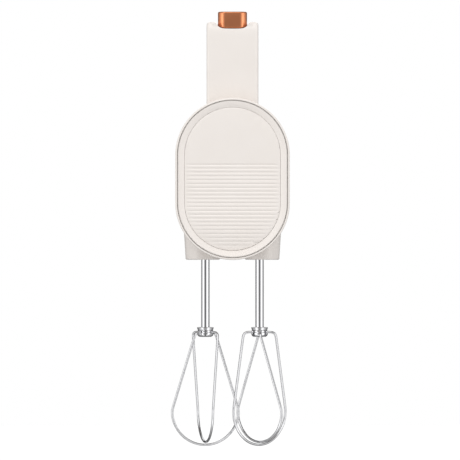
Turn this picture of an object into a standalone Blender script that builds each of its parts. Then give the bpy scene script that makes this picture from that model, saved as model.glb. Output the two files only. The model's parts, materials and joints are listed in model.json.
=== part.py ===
"""Hand mixer with two wire beaters, a loop handle and a worm drive. Metres, +Z up, nose towards -Y."""

import math

import bmesh
import bpy
from mathutils import Matrix, Vector

MM = 0.001
GAP = 0.3 * MM  # left between pieces that touch
WALL = 2.5 * MM  # moulded shells

# Beaters, from the tips at z = 0 upwards
WIRE_RADIUS = 1.0 * MM
BEATER_RADIUS = 27.0 * MM  # from the spindle axis to the wire's centre line
HUB_RADIUS = 6.5 * MM
HUB_HEIGHT = 7.6 * MM
HUB_Z = 90.0 * MM  # where the wires leave the hub
ARM_BEND_RADIUS = 12.5 * MM  # how far out the wires bend down
BEATER_TWIST = math.radians(40.0)
LEFT_ARM_AZIMUTH = math.radians(53.0)
RIGHT_ARM_AZIMUTH = math.radians(0.0)
SHAFT_RADIUS = 3.3 * MM

# Housing
BOSS_BOTTOM_Z = 147.0 * MM
NOSE_WIDTH = 89.5 * MM
NOSE_HEIGHT = 126.5 * MM
NOSE_Y = -95.0 * MM
RIM_DEPTH = 7.0 * MM
RIM_STEP = 0.8 * MM
RIM_LIP = 1.5 * MM
BARREL_REAR_Y = 88.0 * MM
REAR_WIDTH = 84.0 * MM
REAR_RISE = 9.0 * MM  # how much higher the barrel's underside is at the heel
REAR_DROP = 15.0 * MM  # how much lower its top is at the heel
HEEL_DEPTH = 6.7 * MM
HEEL_EDGE = 1.8 * MM
PAD_THICKNESS = 1.7 * MM
PAD_MARGIN = 12.0 * MM
BEZEL_BAND = 5.4 * MM
BEZEL_RECESS = 4.1 * MM
BEZEL_DEPTH = 6.4 * MM
PANEL_BULGE = 2.6 * MM
PANEL_THICKNESS = 2.4 * MM
GLAND_Y = 52.0 * MM
GLAND_RADIUS = 5.0 * MM
GLAND_FLANGE = 7.5 * MM
VENT_WIDTH = 2.6 * MM
VENT_PITCH = 7.0 * MM
VENT_COUNT = 6
VENT_HEIGHT = 20.0 * MM
HEEL_POST_LENGTH = 24.0 * MM

# Handle loop
HANDLE_WIDTH = 40.6 * MM
HANDLE_TOP_Z = 333.5 * MM
HANDLE_FRONT_Y = -80.0 * MM
HANDLE_REAR_Y = 85.5 * MM
GRIP_THICKNESS = 29.0 * MM
POST_DEPTH = 29.0 * MM
COVER_DEPTH = 11.0 * MM
COVER_EDGE = 3.0 * MM
GRIP_EDGE = 7.0 * MM

# Speed control
KNOB_WIDTH = 22.8 * MM
KNOB_LENGTH = 28.4 * MM
KNOB_HEIGHT = 13.1 * MM
KNOB_STANDS = 8.1 * MM  # above the handle's top
KNOB_EDGE = 2.2 * MM
KNOB_TRAVEL = 22.0 * MM
PRESS_TRAVEL = 3.5 * MM
NOTCH_SIDE = 1.05 * MM
NOTCH_FLARE = 1.6 * MM
NOTCH_CORNER = 2.4 * MM
STEM_WIDTH = 5.0 * MM
STEM_LENGTH = 7.0 * MM
TRAY_WALL = 3.0 * MM
CARRIAGE_THICKNESS = 3.5 * MM
ROD_RADIUS = 2.5 * MM
SPRING_RADIUS = 4.8 * MM
SPRING_WIRE = 0.4 * MM
SPRING_TURNS = 5
SWITCH_LENGTH = 38.0 * MM
SWITCH_HEIGHT = 8.0 * MM
TAB_LENGTH = 5.0 * MM

# Gearbox: a two-start worm between two wheels
SPINDLE_Y = -52.0 * MM
MODULE = 1.25 * MM
WHEEL_TEETH = 27
WORM_STARTS = 2
WORM_PITCH_RADIUS = 4.475 * MM
WORM_LENGTH = 22.0 * MM
WHEEL_FACE = 10.0 * MM
BACKLASH = 0.35 * MM
MOTOR_Z = 196.0 * MM
SLEEVE_WALL = 1.4 * MM
FRAME_THICKNESS = 4.0 * MM
FRAME_WIDTH = 68.0 * MM
BUSH_WALL = 2.0 * MM
BUSH_LENGTH = 10.0 * MM
BOSS_WIDTH = 27.3 * MM
BOSS_OFFSET = 2.0 * MM  # the bosses stand further out than their spindles
BOSS_HEIGHT = 21.0 * MM

# Motor
ARMATURE_SHAFT_RADIUS = 3.0 * MM
STATOR_WIDTH = 56.0 * MM
STATOR_HEIGHT = 48.0 * MM
STATOR_FRONT_Y = 0.0 * MM
STATOR_LENGTH = 30.0 * MM
STATOR_BORE = 15.5 * MM
AIR_GAP = 0.6 * MM
WINDING_LENGTH = 6.0 * MM
COIL_SIZE = 5.0 * MM
FAN_RADIUS = 24.0 * MM
COMMUTATOR_RADIUS = 9.0 * MM
COMMUTATOR_LENGTH = 10.0 * MM
BEARING_RADIUS = 6.5 * MM

# Derived places
SPINDLE_X = WORM_PITCH_RADIUS + MODULE * WHEEL_TEETH / 2
NOSE_LOW = BOSS_BOTTOM_Z
NOSE_HIGH = NOSE_LOW + NOSE_HEIGHT
SEAM_Z = NOSE_LOW + NOSE_HEIGHT / 2
SLEEVE_BORE = SHAFT_RADIUS + GAP
SLEEVE_RADIUS = SLEEVE_BORE + SLEEVE_WALL
WHEEL_LOW = MOTOR_Z - WHEEL_FACE / 2
SLEEVE_TOP = MOTOR_Z + WHEEL_FACE / 2 + 2.0 * MM
SHANK_TOP = SLEEVE_TOP + 1.0 * MM
BUSH_RADIUS = SLEEVE_RADIUS + GAP + BUSH_WALL
FRAME_TOP = WHEEL_LOW - 3.0 * MM
BOSS_TOP = BOSS_BOTTOM_Z + BOSS_HEIGHT
PLATE_LOW = SHANK_TOP + PRESS_TRAVEL + GAP
PLATE_THICKNESS = 3.0 * MM
KNOB_TOP = HANDLE_TOP_Z + KNOB_STANDS
KNOB_LOW = KNOB_TOP - KNOB_HEIGHT
NOTCH_Z = KNOB_LOW - GAP
TRAY_FLOOR = KNOB_LOW - PRESS_TRAVEL - 1.0 * MM
TRAY_LOW = TRAY_FLOOR - TRAY_WALL
KNOB_FRONT_Y = HANDLE_FRONT_Y + WALL + 1.1 * MM
KNOB_Y = KNOB_FRONT_Y + KNOB_LENGTH / 2
CARRIAGE_TOP = TRAY_LOW - GAP
CARRIAGE_LOW = CARRIAGE_TOP - CARRIAGE_THICKNESS
STEM_LOW = CARRIAGE_LOW - 4.2 * MM
ROD_TOP = STEM_LOW - GAP
FRAME_WALL_Y = -30.0 * MM
STATOR_REAR_Y = STATOR_FRONT_Y + STATOR_LENGTH
COMMUTATOR_Y = STATOR_REAR_Y + 13.0 * MM
BRACKET_Y = COMMUTATOR_Y + COMMUTATOR_LENGTH + 3.0 * MM
BRACKET_THICKNESS = 4.0 * MM
STATOR_SCREW_X = STATOR_WIDTH / 2 - 4.5 * MM
STATOR_SCREW_Z = STATOR_HEIGHT / 2 - 4.5 * MM
SCREW_RADIUS = 1.5 * MM
SCREW_HEAD_RADIUS = 3.0 * MM
SCREW_HEAD_HEIGHT = 2.0 * MM
HEEL_SCREW_INSET = 6.5 * MM
ROUND_STEPS = 18


def clear_scene():
    for thing in list(bpy.data.objects):
        bpy.data.objects.remove(thing)


def new_collection(name):
    collection = bpy.data.collections.new(name)
    bpy.context.scene.collection.children.link(collection)
    return collection


clear_scene()
PARTS = new_collection("hand_mixer")
CUTTERS = new_collection("cutters")


def material(name, colour, roughness, metallic=0.0):
    made = bpy.data.materials.new(name)
    made.use_nodes = True
    made.diffuse_color = (*colour, 1.0)
    shader = made.node_tree.nodes["Principled BSDF"]
    shader.inputs["Base Color"].default_value = (*colour, 1.0)
    shader.inputs["Roughness"].default_value = roughness
    shader.inputs["Metallic"].default_value = metallic
    return made


WARM_WHITE = material("warm_white_plastic", (0.82, 0.78, 0.74), 0.32)
COPPER = material("copper_plating", (0.62, 0.27, 0.15), 0.25, 1.0)
CHROME = material("chrome_wire", (0.72, 0.72, 0.72), 0.12, 1.0)
STEEL = material("turned_steel", (0.55, 0.55, 0.56), 0.3, 1.0)
RUBBER = material("grey_rubber", (0.28, 0.27, 0.26), 0.8)
NYLON = material("ivory_nylon", (0.80, 0.74, 0.60), 0.45)
DARK_PLASTIC = material("dark_plastic", (0.05, 0.05, 0.05), 0.5)
CAST = material("cast_aluminium", (0.50, 0.50, 0.50), 0.5, 1.0)
LAMINATION = material("lamination_steel", (0.22, 0.22, 0.24), 0.45, 1.0)
WINDING = material("winding_copper", (0.70, 0.32, 0.14), 0.4, 1.0)
BRONZE = material("sintered_bronze", (0.60, 0.42, 0.20), 0.45, 1.0)
CARBON = material("carbon", (0.03, 0.03, 0.03), 0.7)
BOARD = material("circuit_board", (0.05, 0.22, 0.10), 0.5)


def new_object(name, mesh_source, finish, location=(0.0, 0.0, 0.0)):
    """Makes an object of a bmesh, which it frees, in the parts collection."""
    mesh = bpy.data.meshes.new(name)
    mesh_source.to_mesh(mesh)
    mesh_source.free()
    thing = bpy.data.objects.new(name, mesh)
    thing.location = location
    if finish is not None:
        mesh.materials.append(finish)
    mesh.shade_smooth()
    mesh.set_sharp_from_angle(angle=math.radians(35.0))
    PARTS.objects.link(thing)
    return thing


def as_cutter(thing):
    """Moves an object that shapes another one out of the parts."""
    PARTS.objects.unlink(thing)
    CUTTERS.objects.link(thing)
    thing.hide_render = True
    thing.display_type = "WIRE"
    return thing


def combine(target, other, operation):
    modifier = target.modifiers.new(other.name, "BOOLEAN")
    modifier.operation = operation
    modifier.object = as_cutter(other)
    return target


def cut(target, other):
    return combine(target, other, "DIFFERENCE")


def join(target, other):
    return combine(target, other, "UNION")


def bevel(thing, width, segments=2):
    modifier = thing.modifiers.new("edges", "BEVEL")
    modifier.width = width
    modifier.segments = segments
    modifier.limit_method = "ANGLE"
    return thing


def box(name, low, high, finish=None):
    low, high = Vector(low), Vector(high)
    mesh = bmesh.new()
    bmesh.ops.create_cube(mesh, size=1.0)
    size = high - low
    bmesh.ops.transform(mesh, matrix=Matrix.Diagonal((*size, 1.0)), verts=mesh.verts)
    return new_object(name, mesh, finish, (low + high) / 2)


def turn_to(axis):
    """Rotation that takes +Z to the given axis."""
    return Vector((0.0, 0.0, 1.0)).rotation_difference(Vector(axis)).to_matrix().to_4x4()


def add_rod(mesh, start, axis, length, radius, end_radius=None, steps=ROUND_STEPS):
    """Adds a cylinder or cone that starts at a point and runs along an axis."""
    end_radius = radius if end_radius is None else end_radius
    place = Matrix.Translation(start) @ turn_to(axis) @ Matrix.Translation((0.0, 0.0, length / 2))
    bmesh.ops.create_cone(
        mesh, cap_ends=True, segments=steps, radius1=radius, radius2=end_radius, depth=length, matrix=place
    )


def rod(name, start, axis, length, radius, finish=None, end_radius=None, steps=ROUND_STEPS):
    mesh = bmesh.new()
    start = Vector(start)
    add_rod(mesh, (0.0, 0.0, 0.0), axis, length, radius, end_radius, steps)
    return new_object(name, mesh, finish, start)


def turned(name, profile, start, axis, finish=None, steps=ROUND_STEPS, closed=False):
    """Turns a profile of (radius, height) points, top to bottom down its outer side, about an axis."""
    mesh = bmesh.new()
    points = [mesh.verts.new((radius, 0.0, height)) for radius, height in profile]
    for first, second in zip(points, points[1:]):
        mesh.edges.new((first, second))
    if closed:
        mesh.edges.new((points[-1], points[0]))
    thing = new_object(name, mesh, finish, start)
    thing.rotation_euler = turn_to(axis).to_euler()
    screw = thing.modifiers.new("turn", "SCREW")
    screw.steps = steps
    screw.render_steps = steps
    screw.use_merge_vertices = True
    screw.merge_threshold = 0.00001
    screw.use_smooth_shade = True
    return thing


def ring(name, inner, outer, length, start, axis, finish=None, steps=ROUND_STEPS):
    """A plain bush or washer."""
    profile = [(outer, length), (outer, 0.0), (inner, 0.0), (inner, length)]
    return turned(name, profile, start, axis, finish, steps, closed=True)


def loft(name, rings, finish=None, capped=True, looped=False):
    """Skins rings of points, which all have the same count, in order."""
    mesh = bmesh.new()
    rows = [[mesh.verts.new(point) for point in points] for points in rings]
    pairs = list(zip(rows, rows[1:]))
    if looped:
        pairs.append((rows[-1], rows[0]))
    for row, after in pairs:
        for index in range(len(row)):
            follow = (index + 1) % len(row)
            mesh.faces.new((row[index], row[follow], after[follow], after[index]))
    caps = [] if looped else [mesh.faces.new(rows[0]), mesh.faces.new(list(reversed(rows[-1])))]
    bmesh.ops.recalc_face_normals(mesh, faces=mesh.faces)
    if not capped:
        bmesh.ops.delete(mesh, geom=caps, context="FACES_ONLY")
    return new_object(name, mesh, finish)


def tube_along(name, points, radius, finish):
    """A round wire through the points, with closed ends."""
    curve = bpy.data.curves.new(name, "CURVE")
    curve.dimensions = "3D"
    curve.bevel_depth = radius
    curve.bevel_resolution = 2
    curve.use_fill_caps = True
    spline = curve.splines.new("POLY")
    spline.points.add(len(points) - 1)
    for place, point in zip(spline.points, points):
        place.co = (*point, 1.0)
    curve.materials.append(finish)
    thing = bpy.data.objects.new(name, curve)
    PARTS.objects.link(thing)
    return thing


# Barrel and nose


def stadium(half_width, low, high, y, steps=12):
    """Upright stadium outline: straight sides between two half circles."""
    points = []
    for centre, start in ((high - half_width, 0.0), (low + half_width, math.pi)):
        for step in range(steps + 1):
            angle = start + math.pi * step / steps
            points.append(Vector((half_width * math.cos(angle), y, centre + half_width * math.sin(angle))))
    return points


def barrel_ring(y, inset=0.0):
    """The barrel's outline at a depth, drawn in by an inset."""
    share = (y - NOSE_Y) / (BARREL_REAR_Y - NOSE_Y)
    half_width = NOSE_WIDTH / 2 + (REAR_WIDTH - NOSE_WIDTH) / 2 * share - inset
    low = NOSE_LOW + REAR_RISE * share + inset
    high = NOSE_HIGH - REAR_DROP * share - inset
    return stadium(half_width, low, high, y)


def barrel_rings(inset=0.0, front=0.0, rear=0.0):
    """Rings from the rim to the heel. Front and rear lengthen the ends."""
    edge = RIM_STEP
    step_y = NOSE_Y + RIM_DEPTH
    rings = [barrel_ring(NOSE_Y, edge + inset), barrel_ring(NOSE_Y + edge, inset)]
    rings += [barrel_ring(step_y, inset), barrel_ring(step_y + edge / 2, edge + inset)]
    for share in (0.35, 0.7, 1.0):
        rings.append(barrel_ring(step_y + (BARREL_REAR_Y - step_y) * share, edge + inset))
    for point in rings[0]:
        point.y -= front
    for point in rings[-1]:
        point.y += rear
    return rings


def barrel_half(name, low, high):
    """The barrel's wall between two heights."""
    shell = loft(name, barrel_rings(), WARM_WHITE, capped=False)
    wall = shell.modifiers.new("wall", "SOLIDIFY")
    wall.thickness = WALL
    wall.offset = -1.0
    wall.use_even_offset = True
    reach = NOSE_WIDTH
    keep = box(name + "_keep", (-reach, NOSE_Y - reach, low), (reach, BARREL_REAR_Y + reach, high))
    combine(shell, keep, "INTERSECT")
    pocket = [bezel_ring(-GAP, NOSE_Y - WALL), bezel_ring(-GAP, NOSE_Y + BEZEL_DEPTH + 2 * GAP)]
    return cut(shell, loft(name + "_pocket", pocket))


def bezel_ring(inset, y):
    margin = RIM_LIP + GAP + inset
    return stadium(NOSE_WIDTH / 2 - margin, NOSE_LOW + margin, NOSE_HIGH - margin, y)


def make_nose():
    front = NOSE_Y + GAP
    back = NOSE_Y + BEZEL_DEPTH
    recess = front + BEZEL_RECESS
    rings = [
        bezel_ring(0.6 * MM, front),
        bezel_ring(BEZEL_BAND, recess),
        bezel_ring(BEZEL_BAND, back),
        bezel_ring(0.0, back),
        bezel_ring(0.0, front + 0.5 * MM),
    ]
    loft("nose_bezel", rings, WARM_WHITE, looped=True)
    edge = BEZEL_BAND + GAP
    rings = [bezel_ring(edge, recess + PANEL_THICKNESS)]
    reach = NOSE_WIDTH / 2 - edge - RIM_LIP
    for share in (1.0, 0.8, 0.55, 0.3):
        bulge = PANEL_BULGE * (1.0 - share * share)
        rings.append(bezel_ring(edge + reach * (1.0 - share), recess - bulge))
    loft("nose_panel", rings, WARM_WHITE)


def boss_ring(side, z, half_width, steps=ROUND_STEPS):
    centre = side * (SPINDLE_X + BOSS_OFFSET)
    points = []
    for step in range(steps):
        angle = math.tau * step / steps
        points.append(
            Vector((centre + half_width * math.cos(angle), SPINDLE_Y + half_width * math.sin(angle), z))
        )
    return points


def heel_screw_z(side):
    """Height of the heel's lower (-1) or upper (+1) screw."""
    if side < 0:
        return NOSE_LOW + REAR_RISE + RIM_STEP + HEEL_SCREW_INSET
    return NOSE_HIGH - REAR_DROP - RIM_STEP - HEEL_SCREW_INSET


def add_heel_post(shell, side):
    """A post inside the barrel that takes one of the heel's screws."""
    z = heel_screw_z(side)
    length = HEEL_POST_LENGTH
    start = (0.0, BARREL_REAR_Y - length, z)
    post = rod(shell.name + "_post", start, (0, 1, 0), length - GAP, HEEL_SCREW_INSET - 1.2 * MM)
    join(shell, post)
    bore_start = (0.0, BARREL_REAR_Y - 0.7 * length, z)
    thread = rod(shell.name + "_thread", bore_start, (0, 1, 0), length, SCREW_RADIUS + GAP, steps=12)
    return cut(shell, thread)


def make_lower_housing():
    shell = barrel_half("lower_housing", NOSE_LOW - NOSE_WIDTH, SEAM_Z - GAP / 2)
    edge = 1.2 * MM
    draft = 1.2 * MM
    for side, word in ((-1, "left"), (1, "right")):
        rings = [
            boss_ring(side, BOSS_BOTTOM_Z, BOSS_WIDTH / 2 - edge),
            boss_ring(side, BOSS_BOTTOM_Z + edge, BOSS_WIDTH / 2),
            boss_ring(side, BOSS_TOP, BOSS_WIDTH / 2 + draft),
        ]
        join(shell, loft("boss_" + word, rings))
    for y in frame_screw_places():
        low = NOSE_LOW + 1.5 * WALL
        top = FRAME_TOP - FRAME_THICKNESS - GAP
        join(shell, rod("frame_post", (0.0, y, low), (0, 0, 1), top - low, 4.0 * MM, steps=16))
        start = (0.0, y, top - 12.0 * MM)
        cut(shell, rod("frame_thread", start, (0, 0, 1), top, SCREW_RADIUS + GAP, steps=12))
    for side, word in ((-1, "left"), (1, "right")):
        place = (side * SPINDLE_X, SPINDLE_Y, BOSS_BOTTOM_Z - WALL)
        cut(shell, rod("passage_" + word, place, (0, 0, 1), 60.0 * MM, SLEEVE_RADIUS + GAP + 0.4 * MM))
        pocket = WALL + BUSH_LENGTH + 2 * GAP
        cut(shell, rod("pocket_" + word, place, (0, 0, 1), pocket, BUSH_RADIUS + GAP))
    add_heel_post(shell, -1)
    cut(shell, vent_cutter())
    gland_place = (0.0, GLAND_Y, NOSE_LOW - WALL)
    cut(shell, rod("gland_hole", gland_place, (0, 0, 1), 30.0 * MM, GLAND_RADIUS + GAP))


def vent_cutter():
    """A row of upright slots through both sides of the barrel, beside the commutator."""
    mesh = bmesh.new()
    middle = (STATOR_REAR_Y + BRACKET_Y) / 2
    for index in range(VENT_COUNT):
        y = middle + (index - (VENT_COUNT - 1) / 2) * VENT_PITCH
        size = Matrix.Diagonal((2 * NOSE_WIDTH, VENT_WIDTH, VENT_HEIGHT, 1.0))
        place = Matrix.Translation((0.0, y, MOTOR_Z - 2.0 * MM))
        bmesh.ops.create_cube(mesh, size=1.0, matrix=place @ size)
    return new_object("vents", mesh, None)


# Handle loop


def handle_stations():
    """(outer, inner) points of the loop's side outline, from the front post's foot to the rear post's."""
    top = HANDLE_TOP_Z
    under = top - GRIP_THICKNESS
    front = HANDLE_FRONT_Y
    inner_front = front + POST_DEPTH
    rear = HANDLE_REAR_Y
    inner_rear = rear - POST_DEPTH
    foot = NOSE_HIGH - REAR_DROP - 8.0 * MM
    waist = 3.5 * MM  # how far the front post is drawn in half way up
    guides = [
        ((front, foot), (inner_front, foot)),
        ((front, foot + 16 * MM), (inner_front, foot + 14 * MM)),
        ((front + waist, foot + 36 * MM), (inner_front + 1 * MM, foot + 28 * MM)),
        ((front + waist, top - 28 * MM), (inner_front + 5 * MM, under - 9 * MM)),
        ((front + 1 * MM, top - 12 * MM), (inner_front + 11 * MM, under - 3 * MM)),
        ((front, top - 3.5 * MM), (inner_front + 17 * MM, under - 0.8 * MM)),
        ((front + 0.9 * MM, top - 0.8 * MM), (inner_front + 20 * MM, under - 0.3 * MM)),
        ((front + 4 * MM, top), (inner_front + 24 * MM, under)),
        ((front + 44 * MM, top), (inner_front + 40 * MM, under)),
        ((rear - 62 * MM, top), (inner_rear - 45 * MM, under)),
        ((rear - 38 * MM, top - 2 * MM), (inner_rear - 26 * MM, under - 1.5 * MM)),
        ((rear - 16 * MM, top - 11 * MM), (inner_rear - 11 * MM, under - 7 * MM)),
        ((rear - 4 * MM, top - 28 * MM), (inner_rear - 3 * MM, under - 17 * MM)),
        ((rear, top - 50 * MM), (inner_rear, under - 30 * MM)),
        ((rear, foot), (inner_rear, foot)),
    ]
    steps = 2
    stations = []
    for index in range(len(guides) - 1):
        around = [guides[min(max(index + shift, 0), len(guides) - 1)] for shift in (-1, 0, 1, 2)]
        for step in range(steps):
            share = step / steps
            stations.append(tuple(smooth_point([pair[side] for pair in around], share) for side in (0, 1)))
    stations.append(tuple(Vector(point) for point in guides[-1]))
    return stations


def smooth_point(points, share):
    """A point between the second and third of four points, on a Catmull-Rom curve."""
    before, first, second, after = (Vector(point) for point in points)
    along = 0.5 * (second - before)
    beyond = 0.5 * (after - first)
    cube, square = share**3, share**2
    return (
        (2 * cube - 3 * square + 1) * first
        + (cube - 2 * square + share) * along
        + (3 * square - 2 * cube) * second
        + (cube - square) * beyond
    )


def channel_section(half_width, depth_open, depth_shut, edge):
    """Points (x, depth) of a channel whose floor is at one depth and whose walls end at another."""
    way = 1.0 if depth_shut > depth_open else -1.0
    arc_steps = 2
    outer, inner = [], []
    for points, inset, radius in ((outer, 0.0, edge), (inner, WALL, max(edge - WALL, 0.5 * MM))):
        side = half_width - inset
        floor = depth_shut - way * inset
        points.append((side, depth_open))
        for step in range(arc_steps + 1):
            angle = math.pi / 2 * step / arc_steps
            points.append(
                (side - radius * (1 - math.cos(angle)), floor - way * radius * (1 - math.sin(angle)))
            )
        points += [(-x, depth) for x, depth in reversed(points)]
    return outer + list(reversed(inner))


def handle_channel(name, cover, finish=None):
    """One half of the handle: the outer cover, or the inner base that faces the fingers."""
    rings = []
    for outer, inner in handle_stations():
        span = inner - outer
        depth = span.length
        way = span / depth
        if cover:
            section = channel_section(HANDLE_WIDTH / 2, COVER_DEPTH, 0.0, COVER_EDGE)
        else:
            section = channel_section(HANDLE_WIDTH / 2, COVER_DEPTH + GAP, depth, GRIP_EDGE)
        points = []
        for x, reach in section:
            place = outer + way * reach
            points.append(Vector((x, place.x, place.y)))
        rings.append(points)
    return loft(name, rings, finish)


def make_upper_housing():
    shell = barrel_half("upper_housing", SEAM_Z + GAP / 2, NOSE_HIGH + NOSE_WIDTH)
    base = handle_channel("handle_base", cover=False)
    cut(base, loft("barrel_core", barrel_rings(inset=WALL / 2, front=WALL, rear=GAP)))
    join(shell, base)
    add_heel_post(shell, 1)
    hole_z = NOSE_HIGH - REAR_DROP - 10 * MM
    holes = ((KNOB_Y, ROD_RADIUS + 1.0 * MM), (HANDLE_REAR_Y - POST_DEPTH / 2, 4.0 * MM))
    for index, (y, radius) in enumerate(holes):
        cut(shell, rod(f"post_hole_{index}", (0.0, y, hole_z), (0, 0, 1), 25.0 * MM, radius, steps=16))


def make_handle_cover():
    cover = handle_channel("handle_cover", cover=True, finish=WARM_WHITE)
    cut(cover, loft("barrel_body", barrel_rings(inset=-GAP, front=WALL, rear=GAP)))
    half = KNOB_WIDTH / 2 + NOTCH_SIDE
    front = HANDLE_FRONT_Y + 0.6 * WALL
    rear = KNOB_FRONT_Y + KNOB_LENGTH + KNOB_TRAVEL + 1.5 * MM
    wall = TRAY_WALL
    low = (-half - wall, front, TRAY_LOW)
    join(cover, box("tray", low, (half + wall, rear + wall, HANDLE_TOP_Z - 0.5 * WALL)))
    top = HANDLE_TOP_Z + 2.0 * MM
    lip = HANDLE_FRONT_Y + WALL + 0.8 * MM
    cut(cover, box("well", (-half, lip, TRAY_FLOOR), (half, rear, top)))
    flare_low = NOTCH_Z + NOTCH_CORNER
    floor = half - NOTCH_CORNER
    flare = half + NOTCH_FLARE * (top - flare_low) / (HANDLE_TOP_Z - flare_low)
    outline = [(-flare, top), (-half, flare_low), (-floor, NOTCH_Z)]
    outline += [(floor, NOTCH_Z), (half, flare_low), (flare, top)]
    ends = (HANDLE_FRONT_Y - WALL, lip + 1.0 * MM)
    cut(cover, loft("notch", [[Vector((x, y, z)) for x, z in outline] for y in ends]))
    chamfer = [(-flare, top), (-half, flare_low), (half, flare_low), (flare, top)]
    ends = (lip, rear)
    cut(cover, loft("chamfer", [[Vector((x, y, z)) for x, z in chamfer] for y in ends]))
    slot_low = (-STEM_WIDTH / 2 - GAP, KNOB_Y - STEM_LENGTH / 2 - GAP, TRAY_LOW - WALL)
    slot_high = (STEM_WIDTH / 2 + GAP, KNOB_Y + STEM_LENGTH / 2 + KNOB_TRAVEL + GAP, TRAY_FLOOR + 1.0 * MM)
    cut(cover, box("stem_slot", slot_low, slot_high))


# Heel


def make_heel():
    wall = WALL
    front = BARREL_REAR_Y + GAP
    flat = front + HEEL_DEPTH

    def outline(y, inset):
        points = barrel_ring(BARREL_REAR_Y, RIM_STEP + inset)
        for point in points:
            point.y = y
        return points

    rings = [
        outline(flat - wall, wall),
        outline(front, wall),
        outline(front, 0.0),
        outline(flat - HEEL_EDGE, 0.0),
        outline(flat, HEEL_EDGE),
    ]
    cap = loft("heel_cap", rings, WARM_WHITE)
    for side, word in ((-1, "lower"), (1, "upper")):
        z = heel_screw_z(side)
        post_start = (0.0, front + GAP, z)
        length = HEEL_DEPTH - wall / 2 - GAP
        post = rod("heel_post_" + word, post_start, (0, 1, 0), length, 4.6 * MM, steps=16)
        join(cap, post)
        sink = flat - SCREW_HEAD_HEIGHT - GAP
        bore = SCREW_RADIUS + GAP
        head = SCREW_HEAD_RADIUS + GAP
        profile = [(0.0, flat + wall), (head, flat + wall), (head, sink), (bore, sink)]
        profile += [(bore, front - wall), (0.0, front - wall)]
        cut(cap, turned("heel_hole_" + word, profile, (0.0, 0.0, z), (0, 1, 0), steps=16))
        add_screw("heel_screw_" + word, (0.0, flat - GAP / 2, z), (0, -1, 0), 20.0 * MM)
    rings = [outline(flat + GAP, PAD_MARGIN), outline(flat + GAP + PAD_THICKNESS, PAD_MARGIN)]
    loft("heel_pad", rings, RUBBER)


def add_screw(name, head_top, axis, length):
    """A pan-head screw: the head's flat top is at the given place, and the axis points to its tip."""
    profile = [(0.0, length), (SCREW_RADIUS * 0.4, length), (SCREW_RADIUS, length - 1.6 * MM)]
    profile += [(SCREW_RADIUS, SCREW_HEAD_HEIGHT), (SCREW_HEAD_RADIUS, SCREW_HEAD_HEIGHT)]
    profile += [(SCREW_HEAD_RADIUS, 0.4 * MM), (SCREW_HEAD_RADIUS - 0.4 * MM, 0.0), (0.0, 0.0)]
    return turned(name, profile, head_top, axis, STEEL, steps=12)


def make_gland():
    """The bush that a mains lead would come out of, in the barrel's underside."""
    share = (GLAND_Y - NOSE_Y) / (BARREL_REAR_Y - NOSE_Y)
    skin = NOSE_LOW + REAR_RISE * share + RIM_STEP
    flange = GLAND_FLANGE
    slope = REAR_RISE / (BARREL_REAR_Y - NOSE_Y) * flange
    flange_top = skin - slope - GAP
    flange_low = flange_top - 2.2 * MM
    top = skin + WALL + 5.0 * MM
    bore = 3.4 * MM
    profile = [(GLAND_RADIUS, top), (GLAND_RADIUS, flange_top), (flange, flange_top)]
    profile += [(flange - 0.8 * MM, flange_low), (bore + 0.8 * MM, flange_low), (bore, flange_low + 1.0 * MM)]
    profile += [(bore, top)]
    turned("cord_gland", profile, (0.0, GLAND_Y, 0.0), (0, 0, 1), RUBBER, closed=True)


# Speed control and ejector


def make_control():
    half = KNOB_WIDTH / 2
    knob_high = (half, KNOB_FRONT_Y + KNOB_LENGTH, KNOB_TOP)
    bevel(box("speed_knob", (-half, KNOB_FRONT_Y, KNOB_LOW), knob_high, COPPER), KNOB_EDGE, 3)
    stem_low = (-STEM_WIDTH / 2, KNOB_Y - STEM_LENGTH / 2, STEM_LOW)
    box("knob_stem", stem_low, (STEM_WIDTH / 2, KNOB_Y + STEM_LENGTH / 2, KNOB_LOW - GAP), DARK_PLASTIC)
    front = KNOB_FRONT_Y + 3.0 * MM
    rear = KNOB_Y + STEM_LENGTH / 2 + 29.0 * MM
    carriage_high = (11 * MM, rear, CARRIAGE_TOP)
    carriage = box("slider_carriage", (-11 * MM, front, CARRIAGE_LOW), carriage_high, DARK_PLASTIC)
    tab_rear = rear - 2.0 * MM
    tab_low = (-2.0 * MM, tab_rear - TAB_LENGTH, CARRIAGE_LOW - 4.0 * MM)
    join(carriage, box("tab", tab_low, (2.0 * MM, tab_rear, CARRIAGE_LOW + 1.0 * MM)))
    hole_low = (-STEM_WIDTH / 2 - GAP, KNOB_Y - STEM_LENGTH / 2 - GAP, CARRIAGE_LOW - WALL)
    hole_high = (STEM_WIDTH / 2 + GAP, KNOB_Y + STEM_LENGTH / 2 + GAP, CARRIAGE_TOP + WALL)
    cut(carriage, box("stem_hole", hole_low, hole_high))
    switch_top = CARRIAGE_LOW - GAP
    grip_floor = HANDLE_TOP_Z - GRIP_THICKNESS + WALL + GAP
    switch_low = max(switch_top - SWITCH_HEIGHT, grip_floor)
    switch_front = KNOB_Y + STEM_LENGTH / 2 + KNOB_TRAVEL + 1.0 * MM
    switch_rear = switch_front + SWITCH_LENGTH
    switch_high = (9 * MM, switch_rear, switch_top)
    switch = box("speed_switch", (-9 * MM, switch_front, switch_low), switch_high, NYLON)
    track_low = (-2.0 * MM - GAP, tab_rear - TAB_LENGTH - GAP, CARRIAGE_LOW - 4.0 * MM - GAP)
    cut(switch, box("track", track_low, (2.0 * MM + GAP, tab_rear + KNOB_TRAVEL + GAP, switch_top + WALL)))
    board_low = (-25.0 * MM, STATOR_FRONT_Y, MOTOR_Z + STATOR_HEIGHT / 2 + 10.0 * MM)
    box("control_board", board_low, (25.0 * MM, BRACKET_Y, board_low[2] + 1.6 * MM), BOARD)
    make_ejector()


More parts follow.
